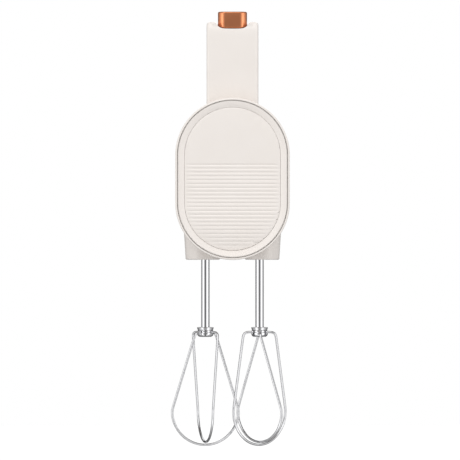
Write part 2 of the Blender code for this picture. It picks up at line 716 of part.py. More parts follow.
def make_ejector():
    top = PLATE_LOW + PLATE_THICKNESS
    reach = SPINDLE_X + SLEEVE_RADIUS
    low = (-reach, SPINDLE_Y - 8.0 * MM, PLATE_LOW)
    plate = box("eject_plate", low, (reach, SPINDLE_Y + 8.0 * MM, top), NYLON)
    foot = (-6.0 * MM, KNOB_Y - 6.0 * MM, PLATE_LOW)
    join(plate, box("eject_foot", foot, (6.0 * MM, SPINDLE_Y - 6.0 * MM, top)))
    collar = NOSE_HIGH + 16.0 * MM
    collar_top = collar + 2 * MM
    profile = [(0.0, ROD_TOP), (ROD_RADIUS, ROD_TOP), (ROD_RADIUS, collar_top), (SPRING_RADIUS, collar_top)]
    profile += [(SPRING_RADIUS, collar), (ROD_RADIUS, collar), (ROD_RADIUS, top + GAP), (0.0, top + GAP)]
    turned("eject_rod", profile, (0.0, KNOB_Y, 0.0), (0, 0, 1), STEEL, steps=12)
    turns = SPRING_TURNS
    per_turn = 9
    wire = SPRING_WIRE
    low, high = NOSE_HIGH + wire, collar - GAP - wire
    points = []
    for step in range(turns * per_turn + 1):
        angle = math.tau * step / per_turn
        height = low + (high - low) * step / (turns * per_turn)
        radius = SPRING_RADIUS - wire
        points.append(Vector((radius * math.cos(angle), KNOB_Y + radius * math.sin(angle), height)))
    tube_along("eject_spring", points, wire, STEEL)


# Gearbox


def gear_outline(teeth, root, tip, root_share, tip_share):
    """(angle, radius) points, four to a tooth. The shares are half widths, where 1 is half the pitch."""
    points = []
    pitch = math.tau / teeth
    for tooth in range(teeth):
        centre = tooth * pitch
        flank = ((-root_share, root), (-tip_share, tip), (tip_share, tip), (root_share, root))
        points += [(centre + share * pitch / 2, radius) for share, radius in flank]
    return points


def spindle_wheel(name, side):
    """A worm wheel on its hollow sleeve. A tooth gap faces the worm."""
    axial_pitch = math.pi * MODULE
    pitch_radius = MODULE * WHEEL_TEETH / 2
    thin = BACKLASH / axial_pitch
    slope = math.tan(math.radians(20.0)) * 2 / axial_pitch
    tip_share = 0.5 - thin - slope * MODULE
    root_share = 0.5 - thin + slope * 1.2 * MODULE
    root = pitch_radius - 1.25 * MODULE
    tip = pitch_radius + 0.95 * MODULE
    outline = gear_outline(WHEEL_TEETH, root, tip, root_share, tip_share)
    facing = math.pi if side > 0 else 0.0
    half_tooth = math.pi / WHEEL_TEETH
    lead_slope = WORM_STARTS * MODULE / (2 * WORM_PITCH_RADIUS)
    rings = []
    for z in (-WHEEL_FACE / 2, 0.0, WHEEL_FACE / 2):
        twist = -lead_slope * z / pitch_radius
        points = []
        for angle, radius in outline:
            turn = angle + facing + half_tooth + twist
            points.append(Vector((radius * math.cos(turn), radius * math.sin(turn), z)))
        rings.append(points)
    wheel = loft(name, rings, NYLON)
    wheel.location = (side * SPINDLE_X, SPINDLE_Y, MOTOR_Z)
    sleeve_low = BOSS_BOTTOM_Z + 2.0 * MM
    place = (side * SPINDLE_X, SPINDLE_Y, sleeve_low)
    join(wheel, rod(name + "_sleeve", place, (0, 0, 1), SLEEVE_TOP - sleeve_low, SLEEVE_RADIUS))
    place = (side * SPINDLE_X, SPINDLE_Y, sleeve_low - WALL)
    cut(wheel, rod(name + "_bore", place, (0, 0, 1), SLEEVE_TOP - sleeve_low + 2 * WALL, SLEEVE_BORE))


def cross_ring(y, turn, outline, radius=None):
    """An outline of (angle, radius) points laid across the motor's axis."""
    points = []
    for angle, reach in outline:
        reach = radius if radius is not None else reach
        x = reach * math.cos(angle + turn)
        z = MOTOR_Z + reach * math.sin(angle + turn)
        points.append(Vector((x, y, z)))
    return points


def worm_outline():
    """One turn of the worm's cross-section, with a thread's crest at angle 0."""
    axial_pitch = math.pi * MODULE
    thin = BACKLASH / axial_pitch
    slope = math.tan(math.radians(20.0)) * 2 / axial_pitch
    tip_share = 0.5 - thin - slope * MODULE
    root_share = 0.5 - thin + slope * 1.2 * MODULE
    root = WORM_PITCH_RADIUS - 1.2 * MODULE
    tip = WORM_PITCH_RADIUS + 0.95 * MODULE
    pitch = math.tau / WORM_STARTS
    points = []
    for start in range(WORM_STARTS):
        centre = start * pitch
        shares = [(-1.0, root), (-root_share, root), (-tip_share, tip), (-tip_share / 3, tip)]
        shares += [(tip_share / 3, tip), (tip_share, tip), (root_share, root)]
        points += [(centre + share * pitch / 2, radius) for share, radius in shares]
    return points


def make_armature_shaft():
    """The shaft and its worm, as one turned and threaded bar along Y."""
    outline = worm_outline()
    lead = WORM_STARTS * math.pi * MODULE
    start = SPINDLE_Y - WORM_LENGTH / 2
    stub = start - 4.0 * MM
    rings = [cross_ring(stub, 0.0, outline, 2.5 * MM), cross_ring(start - 0.2 * MM, 0.0, outline, 2.5 * MM)]
    count = 26
    for index in range(count + 1):
        y = start + WORM_LENGTH * index / count
        rings.append(cross_ring(y, math.tau * (y - SPINDLE_Y) / lead, outline))
    last = math.tau * (WORM_LENGTH / 2) / lead
    end = SPINDLE_Y + WORM_LENGTH / 2
    for y in (end + 0.2 * MM, BRACKET_Y + BRACKET_THICKNESS + 4.0 * MM):
        rings.append(cross_ring(y, last, outline, ARMATURE_SHAFT_RADIUS))
    loft("armature_shaft", rings, STEEL)


def frame_screw_places():
    """Depths of the gear frame's two screws, ahead of and behind the worm."""
    return (SPINDLE_Y - WORM_LENGTH / 2 - 7.0 * MM, FRAME_WALL_Y - 5.0 * MM)


def make_gearbox():
    front = SPINDLE_Y - 23.0 * MM
    half = FRAME_WIDTH / 2
    rear = FRAME_WALL_Y + FRAME_THICKNESS + 2.0 * MM
    plate_low = FRAME_TOP - FRAME_THICKNESS
    frame = box("gear_frame", (-half, front, plate_low), (half, rear, FRAME_TOP), CAST)
    wall_high = MOTOR_Z + STATOR_SCREW_Z + 5.0 * MM
    wall_low = MOTOR_Z - STATOR_SCREW_Z - 5.0 * MM
    join(frame, box("frame_wall", (-half + 3 * MM, FRAME_WALL_Y, wall_low), (half - 3 * MM, rear, wall_high)))
    for side, word in ((-1, "left"), (1, "right")):
        place = (side * SPINDLE_X, SPINDLE_Y, BOSS_TOP + GAP)
        tube_radius = SLEEVE_RADIUS + 4.0 * MM
        join(frame, rod("frame_tube_" + word, place, (0, 0, 1), plate_low - BOSS_TOP, tube_radius))
        place = (side * SPINDLE_X, SPINDLE_Y, BOSS_TOP - WALL)
        cut(frame, rod("frame_bore_" + word, place, (0, 0, 1), 40.0 * MM, SLEEVE_RADIUS + GAP))
        spindle_wheel("spindle_gear_" + word, side)
        washer_low = FRAME_TOP + GAP
        place = (side * SPINDLE_X, SPINDLE_Y, washer_low)
        thick = WHEEL_LOW - GAP - washer_low
        inner, outer = SLEEVE_RADIUS + GAP, SLEEVE_RADIUS + 4.0 * MM
        ring("thrust_washer_" + word, inner, outer, thick, place, (0, 0, 1), STEEL)
        place = (side * SPINDLE_X, SPINDLE_Y, BOSS_BOTTOM_Z + GAP)
        ring("spindle_bush_" + word, SLEEVE_RADIUS + GAP, BUSH_RADIUS, BUSH_LENGTH, place, (0, 0, 1), BRONZE)
    for word, y in zip(("front", "rear"), frame_screw_places()):
        start = (0.0, y, plate_low - WALL)
        cut(frame, rod("frame_hole_" + word, start, (0, 0, 1), 9 * MM, SCREW_RADIUS + GAP, steps=12))
        head_top = FRAME_TOP + GAP + SCREW_HEAD_HEIGHT
        add_screw("frame_screw_" + word, (0.0, y, head_top), (0, 0, -1), 16.0 * MM)
    bearing_hole = (0.0, FRAME_WALL_Y - WALL, MOTOR_Z)
    cut(frame, rod("frame_bearing_hole", bearing_hole, (0, 1, 0), 15 * MM, BEARING_RADIUS + GAP))
    for side in (-1, 1):
        place = (side * STATOR_SCREW_X, FRAME_WALL_Y - WALL, MOTOR_Z - side * STATOR_SCREW_Z)
        cut(frame, rod("frame_stator_hole", place, (0, 1, 0), 15 * MM, SCREW_RADIUS + GAP, steps=12))
    place = (0.0, FRAME_WALL_Y, MOTOR_Z)
    ring("front_bearing", ARMATURE_SHAFT_RADIUS + GAP, BEARING_RADIUS, 6.0 * MM, place, (0, 1, 0), BRONZE)


# Motor


def plate_with_bore(name, y, thickness, width, height, bore, finish):
    low = (-width / 2, y, MOTOR_Z - height / 2)
    plate = box(name, low, (width / 2, y + thickness, MOTOR_Z + height / 2), finish)
    cut(plate, rod(name + "_bore", (0.0, y - WALL, MOTOR_Z), (0, 1, 0), thickness + 2 * WALL, bore))
    for side in (-1, 1):
        place = (side * STATOR_SCREW_X, y - WALL, MOTOR_Z - side * STATOR_SCREW_Z)
        length = thickness + 2 * WALL
        cut(plate, rod(name + "_hole", place, (0, 1, 0), length, SCREW_RADIUS + GAP, steps=12))
    return plate


def make_motor():
    make_armature_shaft()
    stator = plate_with_bore(
        "stator_core", STATOR_FRONT_Y, STATOR_LENGTH, STATOR_WIDTH, STATOR_HEIGHT, STATOR_BORE, LAMINATION
    )
    coil_low = ARMATURE_SHAFT_RADIUS + 1.5 * MM
    window = coil_low + COIL_SIZE + 1.0 * MM
    window_x = STATOR_WIDTH / 2 - 4.5 * MM
    low = (-window_x, STATOR_FRONT_Y - WALL, MOTOR_Z - window)
    cut(stator, box("stator_window", low, (window_x, STATOR_REAR_Y + WALL, MOTOR_Z + window)))
    make_field_coils(coil_low, window_x)
    bore = ARMATURE_SHAFT_RADIUS + GAP
    core_radius = STATOR_BORE - AIR_GAP
    place = (0.0, STATOR_FRONT_Y, MOTOR_Z)
    ring("armature_core", bore, core_radius, STATOR_LENGTH, place, (0, 1, 0), LAMINATION)
    head_radius = core_radius - 4.0 * MM
    head = WINDING_LENGTH - GAP
    place = (0.0, STATOR_FRONT_Y - GAP - head, MOTOR_Z)
    ring("armature_winding_front", bore, head_radius, head, place, (0, 1, 0), WINDING)
    place = (0.0, STATOR_REAR_Y + GAP, MOTOR_Z)
    ring("armature_winding_rear", bore, head_radius, head, place, (0, 1, 0), WINDING)
    place = (0.0, COMMUTATOR_Y, MOTOR_Z)
    ring("commutator", bore, COMMUTATOR_RADIUS, COMMUTATOR_LENGTH, place, (0, 1, 0), BRONZE)
    make_fan(bore)
    plate_with_bore(
        "rear_bracket", BRACKET_Y, BRACKET_THICKNESS, STATOR_WIDTH, STATOR_HEIGHT, BEARING_RADIUS + GAP, NYLON
    )
    place = (0.0, BRACKET_Y, MOTOR_Z)
    ring("rear_bearing", bore, BEARING_RADIUS, BRACKET_THICKNESS, place, (0, 1, 0), BRONZE)
    make_brushes()
    for side, word in ((1, "lower"), (-1, "upper")):
        head_top = BRACKET_Y + BRACKET_THICKNESS + GAP + SCREW_HEAD_HEIGHT
        length = head_top - FRAME_WALL_Y - 1.0 * MM
        place = (side * STATOR_SCREW_X, head_top, MOTOR_Z - side * STATOR_SCREW_Z)
        add_screw("stator_screw_" + word, place, (0, -1, 0), length)


def make_field_coils(coil_low, window_x):
    """Two flat racetrack coils, one round each pole."""
    for side, word in ((-1, "lower"), (1, "upper")):
        inner, outer = sorted((side * coil_low, side * (coil_low + COIL_SIZE)))
        half = window_x - 0.8 * MM
        reach = WINDING_LENGTH + 1.0 * MM
        low = (-half, STATOR_FRONT_Y - reach - COIL_SIZE, MOTOR_Z + inner)
        high = (half, STATOR_REAR_Y + reach + COIL_SIZE, MOTOR_Z + outer)
        coil = box("field_coil_" + word, low, high, WINDING)
        hollow = half - COIL_SIZE
        low = (-hollow, STATOR_FRONT_Y - reach, MOTOR_Z - NOSE_WIDTH)
        cut(coil, box("coil_hollow_" + word, low, (hollow, STATOR_REAR_Y + reach, MOTOR_Z + NOSE_WIDTH)))


def make_fan(bore):
    """Cooling fan in front of the field coils, with slanted blades."""
    front = STATOR_FRONT_Y - WINDING_LENGTH - COIL_SIZE - 10.0 * MM
    blades = 10
    outline = gear_outline(blades, 9.0 * MM, FAN_RADIUS, 0.45, 0.3)
    rings = []
    for share in (0.0, 0.5, 1.0):
        turn = share * math.radians(14.0)
        rings.append(cross_ring(front + share * 7.0 * MM, turn, outline))
    fan = loft("cooling_fan", rings, NYLON)
    cut(fan, rod("fan_bore", (0.0, front - WALL, MOTOR_Z), (0, 1, 0), 20 * MM, bore))


def make_brushes():
    middle = COMMUTATOR_Y + COMMUTATOR_LENGTH / 2
    width = 3.0 * MM
    for side, word in ((-1, "left"), (1, "right")):
        near = COMMUTATOR_RADIUS + GAP
        far = near + 10.0 * MM
        inner, outer = sorted((side * near, side * far))
        size = Vector((0.0, width, width))
        low = Vector((inner, middle, MOTOR_Z)) - size
        box("carbon_brush_" + word, low, Vector((outer, middle, MOTOR_Z)) + size, CARBON)
        shell = size + Vector((0.0, 1.5 * MM, 1.5 * MM))
        inner, outer = sorted((side * (near + 2.0 * MM), side * (far + 3.0 * MM)))
        low = Vector((inner, middle, MOTOR_Z)) - shell
        holder = box("brush_holder_" + word, low, Vector((outer, middle, MOTOR_Z)) + shell, BRONZE)
        hole = size + Vector((0.0, GAP, GAP))
        inner, outer = sorted((0.0, side * (far + GAP)))
        low = Vector((inner, middle, MOTOR_Z)) - hole
        cut(holder, box("brush_way_" + word, low, Vector((outer, middle, MOTOR_Z)) + hole))


# Beaters


def relaxed(points, passes):
    """Rounds the corners of a path, whose ends stay."""
    for _ in range(passes):
        middle = [(a + 2 * b + c) / 4 for a, b, c in zip(points, points[1:], points[2:])]
        points = [points[0], *middle, points[-1]]
    return points


def resampled(points, spacing):
    """Points at even steps along a path."""
    lengths = [0.0]
    for first, second in zip(points, points[1:]):
        lengths.append(lengths[-1] + (second - first).length)
    count = round(lengths[-1] / spacing)
    made = []
    index = 0
    for step in range(count + 1):
        goal = lengths[-1] * step / count
        while index < len(points) - 2 and lengths[index + 1] < goal:
            index += 1
        share = (goal - lengths[index]) / (lengths[index + 1] - lengths[index])
        made.append(points[index].lerp(points[index + 1], share))
    return made


def polar(radius, azimuth, z):
    return Vector((radius * math.cos(azimuth), radius * math.sin(azimuth), z))


def arm_path(azimuth, twist, bottom):
    """One side of a wire loop, from inside the hub to the beater's tip."""
    start = SHAFT_RADIUS + 3 * GAP
    widest = BEATER_RADIUS + WIRE_RADIUS
    turned_azimuth = azimuth + twist
    path = [polar(start, azimuth, HUB_Z), polar(ARM_BEND_RADIUS, azimuth, HUB_Z)]
    steps = 16
    for step in range(steps + 1):
        angle = math.pi / 2 * step / steps
        drop = (widest - bottom) * math.sin(angle)
        path.append(polar(BEATER_RADIUS * math.cos(angle), turned_azimuth, widest - drop))
    return path


def wire_loop(name, centre, azimuth, twist, bottom):
    """A wire down one side of the beater, under its tip and up the other side."""
    down = arm_path(azimuth, twist, bottom)
    up = arm_path(azimuth + math.pi, twist, bottom)
    path = down + list(reversed(up))[1:]
    path = resampled(path, 1.5 * MM)
    path = relaxed(path, 5)
    path = resampled(path, 5.0 * MM)
    tube_along(name, [Vector(centre) + point for point in path], WIRE_RADIUS, CHROME)


def make_beater(side, word, azimuth, twist):
    centre = (side * SPINDLE_X, SPINDLE_Y, 0.0)
    hub_low = HUB_Z - HUB_HEIGHT / 2
    hub_high = HUB_Z + HUB_HEIGHT / 2
    floor = hub_low + 1.6 * MM
    bore = SHAFT_RADIUS + GAP
    edge = 1.4 * MM
    profile = [(bore, hub_high), (HUB_RADIUS - edge, hub_high), (HUB_RADIUS, hub_high - edge)]
    profile += [(HUB_RADIUS, hub_low + edge), (HUB_RADIUS - edge, hub_low), (0.0, hub_low)]
    profile = [(0.0, floor), (bore, floor), *profile]
    hub = turned("beater_hub_" + word, profile, centre, (0, 0, 1), CHROME)
    for index in range(2):
        angle = azimuth + index * math.pi / 2
        way = Vector((math.cos(angle), math.sin(angle), 0.0))
        place = Vector((*centre[:2], HUB_Z)) - way * 2 * HUB_RADIUS
        length = 4 * HUB_RADIUS
        cut(hub, rod(f"wire_hole_{word}_{index}", place, way, length, WIRE_RADIUS + GAP, steps=12))
    groove = SLEEVE_TOP - 8.0 * MM
    profile = [(0.0, SHANK_TOP), (SHAFT_RADIUS - 0.8 * MM, SHANK_TOP), (SHAFT_RADIUS, SHANK_TOP - 1.5 * MM)]
    profile += [(SHAFT_RADIUS, groove + 2.0 * MM), (SHAFT_RADIUS - 0.7 * MM, groove + 1.5 * MM)]
    profile += [(SHAFT_RADIUS - 0.7 * MM, groove), (SHAFT_RADIUS, groove - 0.5 * MM)]
    profile += [(SHAFT_RADIUS, floor + GAP), (0.0, floor + GAP)]
    turned("beater_shaft_" + word, profile, centre, (0, 0, 1), CHROME)
    crossing = 2 * WIRE_RADIUS + GAP
    for index, letter in enumerate("ab"):
        loop_azimuth = azimuth + index * math.pi / 2
        bottom = WIRE_RADIUS + index * crossing
        wire_loop(f"beater_wire_{word}_{letter}", centre, loop_azimuth, twist, bottom)


def main():
    make_nose()
    make_lower_housing()
    make_upper_housing()
    make_handle_cover()
    make_heel()
    make_gland()
    make_control()
    make_gearbox()
    make_motor()
    make_beater(-1, "left", LEFT_ARM_AZIMUTH, -BEATER_TWIST)
    make_beater(1, "right", RIGHT_ARM_AZIMUTH, BEATER_TWIST)


main()
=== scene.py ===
"""Hand mixer: smooth mouldings, a plated control and wire beaters, built round the CAD frame."""

import sys

import json
import logging
import math
from collections.abc import Callable, Iterator, Sequence
from contextlib import contextmanager
from dataclasses import dataclass
from enum import Enum
from typing import Any

import bmesh
import bpy
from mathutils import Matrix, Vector


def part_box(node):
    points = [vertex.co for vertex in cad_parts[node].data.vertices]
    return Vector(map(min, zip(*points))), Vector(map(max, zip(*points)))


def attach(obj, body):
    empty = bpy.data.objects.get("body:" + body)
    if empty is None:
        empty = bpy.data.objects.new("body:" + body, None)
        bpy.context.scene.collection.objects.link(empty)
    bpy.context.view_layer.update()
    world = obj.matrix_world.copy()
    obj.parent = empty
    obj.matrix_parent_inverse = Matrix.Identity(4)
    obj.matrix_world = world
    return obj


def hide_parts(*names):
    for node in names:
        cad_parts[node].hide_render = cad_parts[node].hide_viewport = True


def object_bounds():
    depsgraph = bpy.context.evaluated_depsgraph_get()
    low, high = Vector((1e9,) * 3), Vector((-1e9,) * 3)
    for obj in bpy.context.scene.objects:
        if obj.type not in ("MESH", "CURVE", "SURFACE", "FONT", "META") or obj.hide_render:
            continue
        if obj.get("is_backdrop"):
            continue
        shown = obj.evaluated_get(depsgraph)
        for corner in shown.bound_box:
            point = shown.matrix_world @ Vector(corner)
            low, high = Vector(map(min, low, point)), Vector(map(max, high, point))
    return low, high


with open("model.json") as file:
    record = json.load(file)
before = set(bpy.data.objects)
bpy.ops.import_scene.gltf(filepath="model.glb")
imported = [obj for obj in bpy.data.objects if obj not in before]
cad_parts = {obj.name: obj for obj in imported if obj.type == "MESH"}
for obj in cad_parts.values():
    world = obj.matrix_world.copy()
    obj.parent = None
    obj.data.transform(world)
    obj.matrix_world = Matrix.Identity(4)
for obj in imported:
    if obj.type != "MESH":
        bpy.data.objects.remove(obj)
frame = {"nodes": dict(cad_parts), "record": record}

LOG = logging.getLogger("hand_mixer")
MM = 0.001
GAP = 0.3 * MM
WALL = 2.5 * MM
MERGE = 1e-6
NEAR = 1e-5


class Kind(Enum):
    """What a pick takes."""

    POINTS = "VERT"
    EDGES = "EDGE"


class Axis(Enum):
    """A direction of the frame."""

    X = (1.0, 0.0, 0.0)
    Y = (0.0, 1.0, 0.0)
    Z = (0.0, 0.0, 1.0)

    @property
    def vector(self) -> Vector:
        """The axis as a vector."""
        return Vector(self.value)


# Shader graph


class Socket:
    """A node's output, so that sums on values can be written as sums."""

    def __init__(self, graph: "Graph", output: bpy.types.NodeSocket) -> None:
        """Keeps a graph and the output of one of its nodes."""
        self.graph = graph
        self.output = output

    def _maths(self, operation: str, first: Any, second: Any = None) -> "Socket":
        """Adds a Math node on one or two values or sockets, and gives its result."""
        sockets = {0: first} if second is None else {0: first, 1: second}
        return self.graph.node("ShaderNodeMath", {"operation": operation}, sockets)

    def __add__(self, other: Any) -> "Socket":
        """Sum."""
        return self._maths("ADD", self, other)

    def __radd__(self, other: Any) -> "Socket":
        """Sum."""
        return self._maths("ADD", other, self)

    def __mul__(self, other: Any) -> "Socket":
        """Product."""
        return self._maths("MULTIPLY", self, other)

    def sine(self) -> "Socket":
        """Sine of the value."""
        return self._maths("SINE", self)

    def size(self) -> "Socket":
        """The value without its sign."""
        return self._maths("ABSOLUTE", self)


class Graph:
    """A shader's node tree while it is wired."""

    def __init__(self, tree: bpy.types.NodeTree) -> None:
        """Starts from an empty tree."""
        self.tree = tree
        tree.nodes.clear()

    def node(
        self,
        kind: str,
        settings: dict[str, Any] | None = None,
        sockets: dict[Any, Any] | None = None,
        output: Any = 0,
    ) -> Socket:
        """Adds a node.

        Args:
            kind: The node's type.
            settings: Its settings, which are set first.
            sockets: Values or sockets for its inputs, by name or number.
            output: Name or number of the output to return.

        Returns:
            The chosen output.
        """
        node = self.tree.nodes.new(kind)
        for name, value in (settings or {}).items():
            if name == "stops":
                self._set_stops(node, value)
            else:
                setattr(node, name, value)
        for key, value in (sockets or {}).items():
            if isinstance(value, Socket):
                self.tree.links.new(value.output, node.inputs[key])
            else:
                node.inputs[key].default_value = value
        if not node.outputs:
            return Socket(self, node.inputs[0])
        return Socket(self, node.outputs[output])

    @staticmethod
    def _set_stops(node: bpy.types.Node, stops: Sequence[tuple[float, tuple[float, ...]]]) -> None:
        """Sets a colour ramp's stops.

        Args:
            node: The ramp.
            stops: Places and colours.
        """
        ramp = node.color_ramp
        while len(ramp.elements) < len(stops):
            ramp.elements.new(1.0)
        for element, (place, colour) in zip(ramp.elements, stops):
            element.position = place
            element.color = (*colour, 1.0)

    def place(self, stretch: tuple[float, float, float] = (1.0, 1.0, 1.0)) -> Socket:
        """Object coordinates, stretched by a factor along each axis."""
        point = self.node("ShaderNodeTexCoord", output="Object")
        return self.node("ShaderNodeMapping", sockets={"Vector": point, "Scale": stretch})

    def along(self, axis: Axis) -> Socket:
        """The object coordinate along one axis."""
        point = self.node("ShaderNodeTexCoord", output="Object")
        return self.node("ShaderNodeSeparateXYZ", sockets={0: point}, output=axis.name)

    def noise(self, size: float, detail: float = 2.0, stretch: tuple[float, float, float] = (1, 1, 1)) -> Socket:
        """Soft noise from 0 to 1, by its grain in metres and its layers of finer noise."""
        sockets = {"Vector": self.place(stretch), "Scale": 1.0 / size, "Detail": detail}
        return self.node("ShaderNodeTexNoise", sockets=sockets)

    def ramp(self, stops: Sequence[tuple[float, float]], value: Socket) -> Socket:
        """A ramp of greys, by their places and values."""
        return self.node("ShaderNodeValToRGB", {"stops": [(place, (grey,) * 3) for place, grey in stops]}, {0: value})

    def blend(self, share: Any, first: Any, second: Any, kind: str = "MIX") -> Socket:
        """Mixes two colours or sockets.

        Args:
            share: The second's share.
            first: A colour or socket.
            second: A colour or socket.
            kind: How they are mixed.

        Returns:
            The mixed colour.
        """
        first, second = ((*c, 1.0) if isinstance(c, tuple) else c for c in (first, second))
        settings = {"data_type": "RGBA", "blend_type": kind}
        return self.node("ShaderNodeMix", settings, {0: share, 6: first, 7: second}, output=2)


def linear(red: int, green: int, blue: int) -> tuple[float, float, float]:
    """Turns a display colour of 0 to 255 into a linear one."""
    shares = (value / 255 for value in (red, green, blue))
    return tuple(s / 12.92 if s <= 0.04045 else ((s + 0.055) / 1.055) ** 2.4 for s in shares)


@dataclass(frozen=True)
class Finish:
    """A surface with a grain. Each kind of finish draws its own colour, gloss and relief."""

    slot: str
    colour: tuple[float, float, float]
    shade: tuple[float, float, float]
    roughness: float
    metallic: float = 0.0
    coat: float = 0.0
    grain: float = 0.4 * MM
    relief: float = 0.01 * MM

    def colour_of(self, graph: Graph) -> Socket:
        """The colour, with slow variation towards the shade."""
        return graph.blend(graph.noise(18 * MM, 3.0) * 0.9, self.colour, self.shade)

    def gloss_of(self, graph: Graph) -> Socket:
        """The roughness."""
        return self.roughness - 0.04 + graph.noise(5 * MM, 3.0) * 0.08

    def height_of(self, graph: Graph) -> Socket:
        """The relief, from 0 to 1."""
        return graph.noise(self.grain)

    def build(self) -> bpy.types.Material:
        """Wires the material.

        Returns:
            The material.
        """
        material = bpy.data.materials.new(self.slot)
        material.use_nodes = True
        graph = Graph(material.node_tree)
        bump = graph.node(
            "ShaderNodeBump", sockets={"Height": self.height_of(graph), "Distance": self.relief, "Strength": 1.0}
        )
        sockets = {
            "Base Color": self.colour_of(graph),
            "Roughness": self.gloss_of(graph),
            "Normal": bump,
            "Metallic": self.metallic,
            "Coat Weight": self.coat,
            "Coat Roughness": 0.18,
        }
        shader = graph.node("ShaderNodeBsdfPrincipled", sockets=sockets)
        graph.node("ShaderNodeOutputMaterial", sockets={"Surface": shader})
        material.diffuse_color = (*self.colour, 1.0)
        return material


@dataclass(frozen=True)
class Moulded(Finish):
    """Moulded plastic: a fine eroded texture, and slightly glossier patches."""

    def gloss_of(self, graph: Graph) -> Socket:
        """The roughness, a little lower where hands polish it."""
        return self.roughness - 0.03 + graph.noise(9 * MM, 4.0) * 0.06

    def height_of(self, graph: Graph) -> Socket:
        """Fine pits over a faint orange peel."""
        return graph.noise(self.grain, 1.0) * 0.6 + graph.noise(2.5 * MM, 1.0) * 0.4


@dataclass(frozen=True)
class Brushed(Finish):
    """Metal with fine lines along one axis."""

    axis: Axis = Axis.Y

    def _lines(self, graph: Graph) -> Socket:
        """Noise drawn out along the axis."""
        stretch = tuple(0.02 if part else 1.0 for part in self.axis.value)
        return graph.noise(self.grain, 3.0, stretch)

    def gloss_of(self, graph: Graph) -> Socket:
        """The roughness, uneven from line to line."""
        return self.roughness + self._lines(graph) * 0.08

    def height_of(self, graph: Graph) -> Socket:
        """The lines."""
        return self._lines(graph)


@dataclass(frozen=True)
class Layered(Finish):
    """Sheets or turns of wire side by side."""

    pitch: float = 0.5 * MM
    axis: Axis = Axis.Y

    def _ridges(self, graph: Graph) -> Socket:
        """Ridges across the axis, from 0 to 1."""
        return (graph.along(self.axis) * (math.pi / self.pitch)).sine().size()

    def colour_of(self, graph: Graph) -> Socket:
        """Darker between the ridges."""
        return graph.blend(self._ridges(graph), self.shade, self.colour)

    def height_of(self, graph: Graph) -> Socket:
        """The ridges."""
        return self._ridges(graph)


@dataclass(frozen=True)
class Speckled(Finish):
    """Pressed powder or a cast skin, with pits."""

    def _pits(self, graph: Graph) -> Socket:
        """Cells, dark at their centres."""
        return graph.node("ShaderNodeTexVoronoi", sockets={"Vector": graph.place(), "Scale": 1.0 / self.grain})

    def colour_of(self, graph: Graph) -> Socket:
        """Darker in the pits."""
        return graph.blend(self._pits(graph), self.shade, self.colour)

    def height_of(self, graph: Graph) -> Socket:
        """The pits."""
        return self._pits(graph)


@dataclass(frozen=True)
class Board(Finish):
    """Solder mask over copper tracks."""

    def _tracks(self, graph: Graph) -> Socket:
        """Blocks of tracks, from 0 to 1."""
        sockets = {"Vector": graph.place(), "Scale": 120.0, "Mortar Size": 0.02}
        return graph.node("ShaderNodeTexBrick", {"offset": 0.5, "squash": 0.7}, sockets, output="Fac")

    def colour_of(self, graph: Graph) -> Socket:
        """Lighter over the tracks."""
        return graph.blend(self._tracks(graph), self.colour, self.shade)

    def height_of(self, graph: Graph) -> Socket:
        """The tracks."""
        return self._tracks(graph)


FINISHES = (
    Moulded("housing_plastic", linear(236, 230, 225), linear(232, 225, 219), 0.36, coat=0.12, grain=0.35 * MM),
    Brushed("copper_plating", linear(247, 164, 118), linear(236, 148, 104), 0.32, 1.0,
            grain=0.25 * MM, relief=0.004 * MM),
    Finish("chrome_wire", linear(228, 228, 230), linear(220, 220, 222), 0.07, 1.0, grain=3 * MM, relief=0.0),
    Brushed("turned_steel", linear(190, 190, 192), linear(170, 170, 172), 0.24, 1.0, grain=0.3 * MM),
    Moulded("grey_rubber", linear(92, 90, 88), linear(78, 76, 74), 0.72, grain=0.5 * MM, relief=0.05 * MM),
    Moulded("ivory_nylon", linear(226, 216, 190), linear(214, 203, 176), 0.45, grain=0.5 * MM),
    Moulded("dark_plastic", linear(42, 41, 40), linear(34, 33, 32), 0.48, grain=0.4 * MM, relief=0.02 * MM),
    Speckled("cast_aluminium", linear(176, 176, 176), linear(150, 150, 150), 0.5, 1.0,
             grain=0.8 * MM, relief=0.05 * MM),
    Layered("lamination_steel", linear(120, 120, 124), linear(66, 66, 70), 0.42, 1.0, relief=0.06 * MM),
    Layered("winding_copper", linear(206, 122, 72), linear(110, 52, 26), 0.34, 1.0,
            relief=0.15 * MM, pitch=0.6 * MM, axis=Axis.X),
    Speckled("sintered_bronze", linear(186, 150, 96), linear(120, 92, 54), 0.46, 1.0,
             grain=0.5 * MM, relief=0.03 * MM),
    Speckled("carbon", linear(52, 52, 54), linear(34, 34, 36), 0.62, grain=0.3 * MM, relief=0.02 * MM),
    Board("circuit_board", linear(34, 96, 56), linear(48, 122, 72), 0.34, coat=0.3, relief=0.04 * MM),
)


class Paint:
    """The finishes by their slot in the record."""

    def __init__(self) -> None:
        """Builds every material once."""
        self.made = {finish.slot: finish.build() for finish in FINISHES}

    def dress(self, form: "Form", slot: str, body: str, *nodes: str) -> None:
        """Gives a piece its finish, and puts it in the place of CAD nodes.

        Args:
            form: The piece.
            slot: Its material slot.
            body: The CAD body it moves with.
            *nodes: The CAD nodes it stands for.
        """
        thing = form.thing
        thing.data.materials.clear()
        thing.data.materials.append(self.made[slot])
        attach(thing, body)
        if nodes:
            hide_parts(*nodes)
        LOG.info("%s: %d faces", thing.name, len(thing.data.polygons))

    def dress_node(self, node: str, slot: str) -> None:
        """Gives a kept CAD node its finish.

        Args:
            node: The node's name.
            slot: Its material slot.
        """
        thing = frame["nodes"][node]
        if not thing.material_slots:
            thing.data.materials.append(None)
        for place in thing.material_slots:
            place.material = self.made[slot]


# Modelling bench


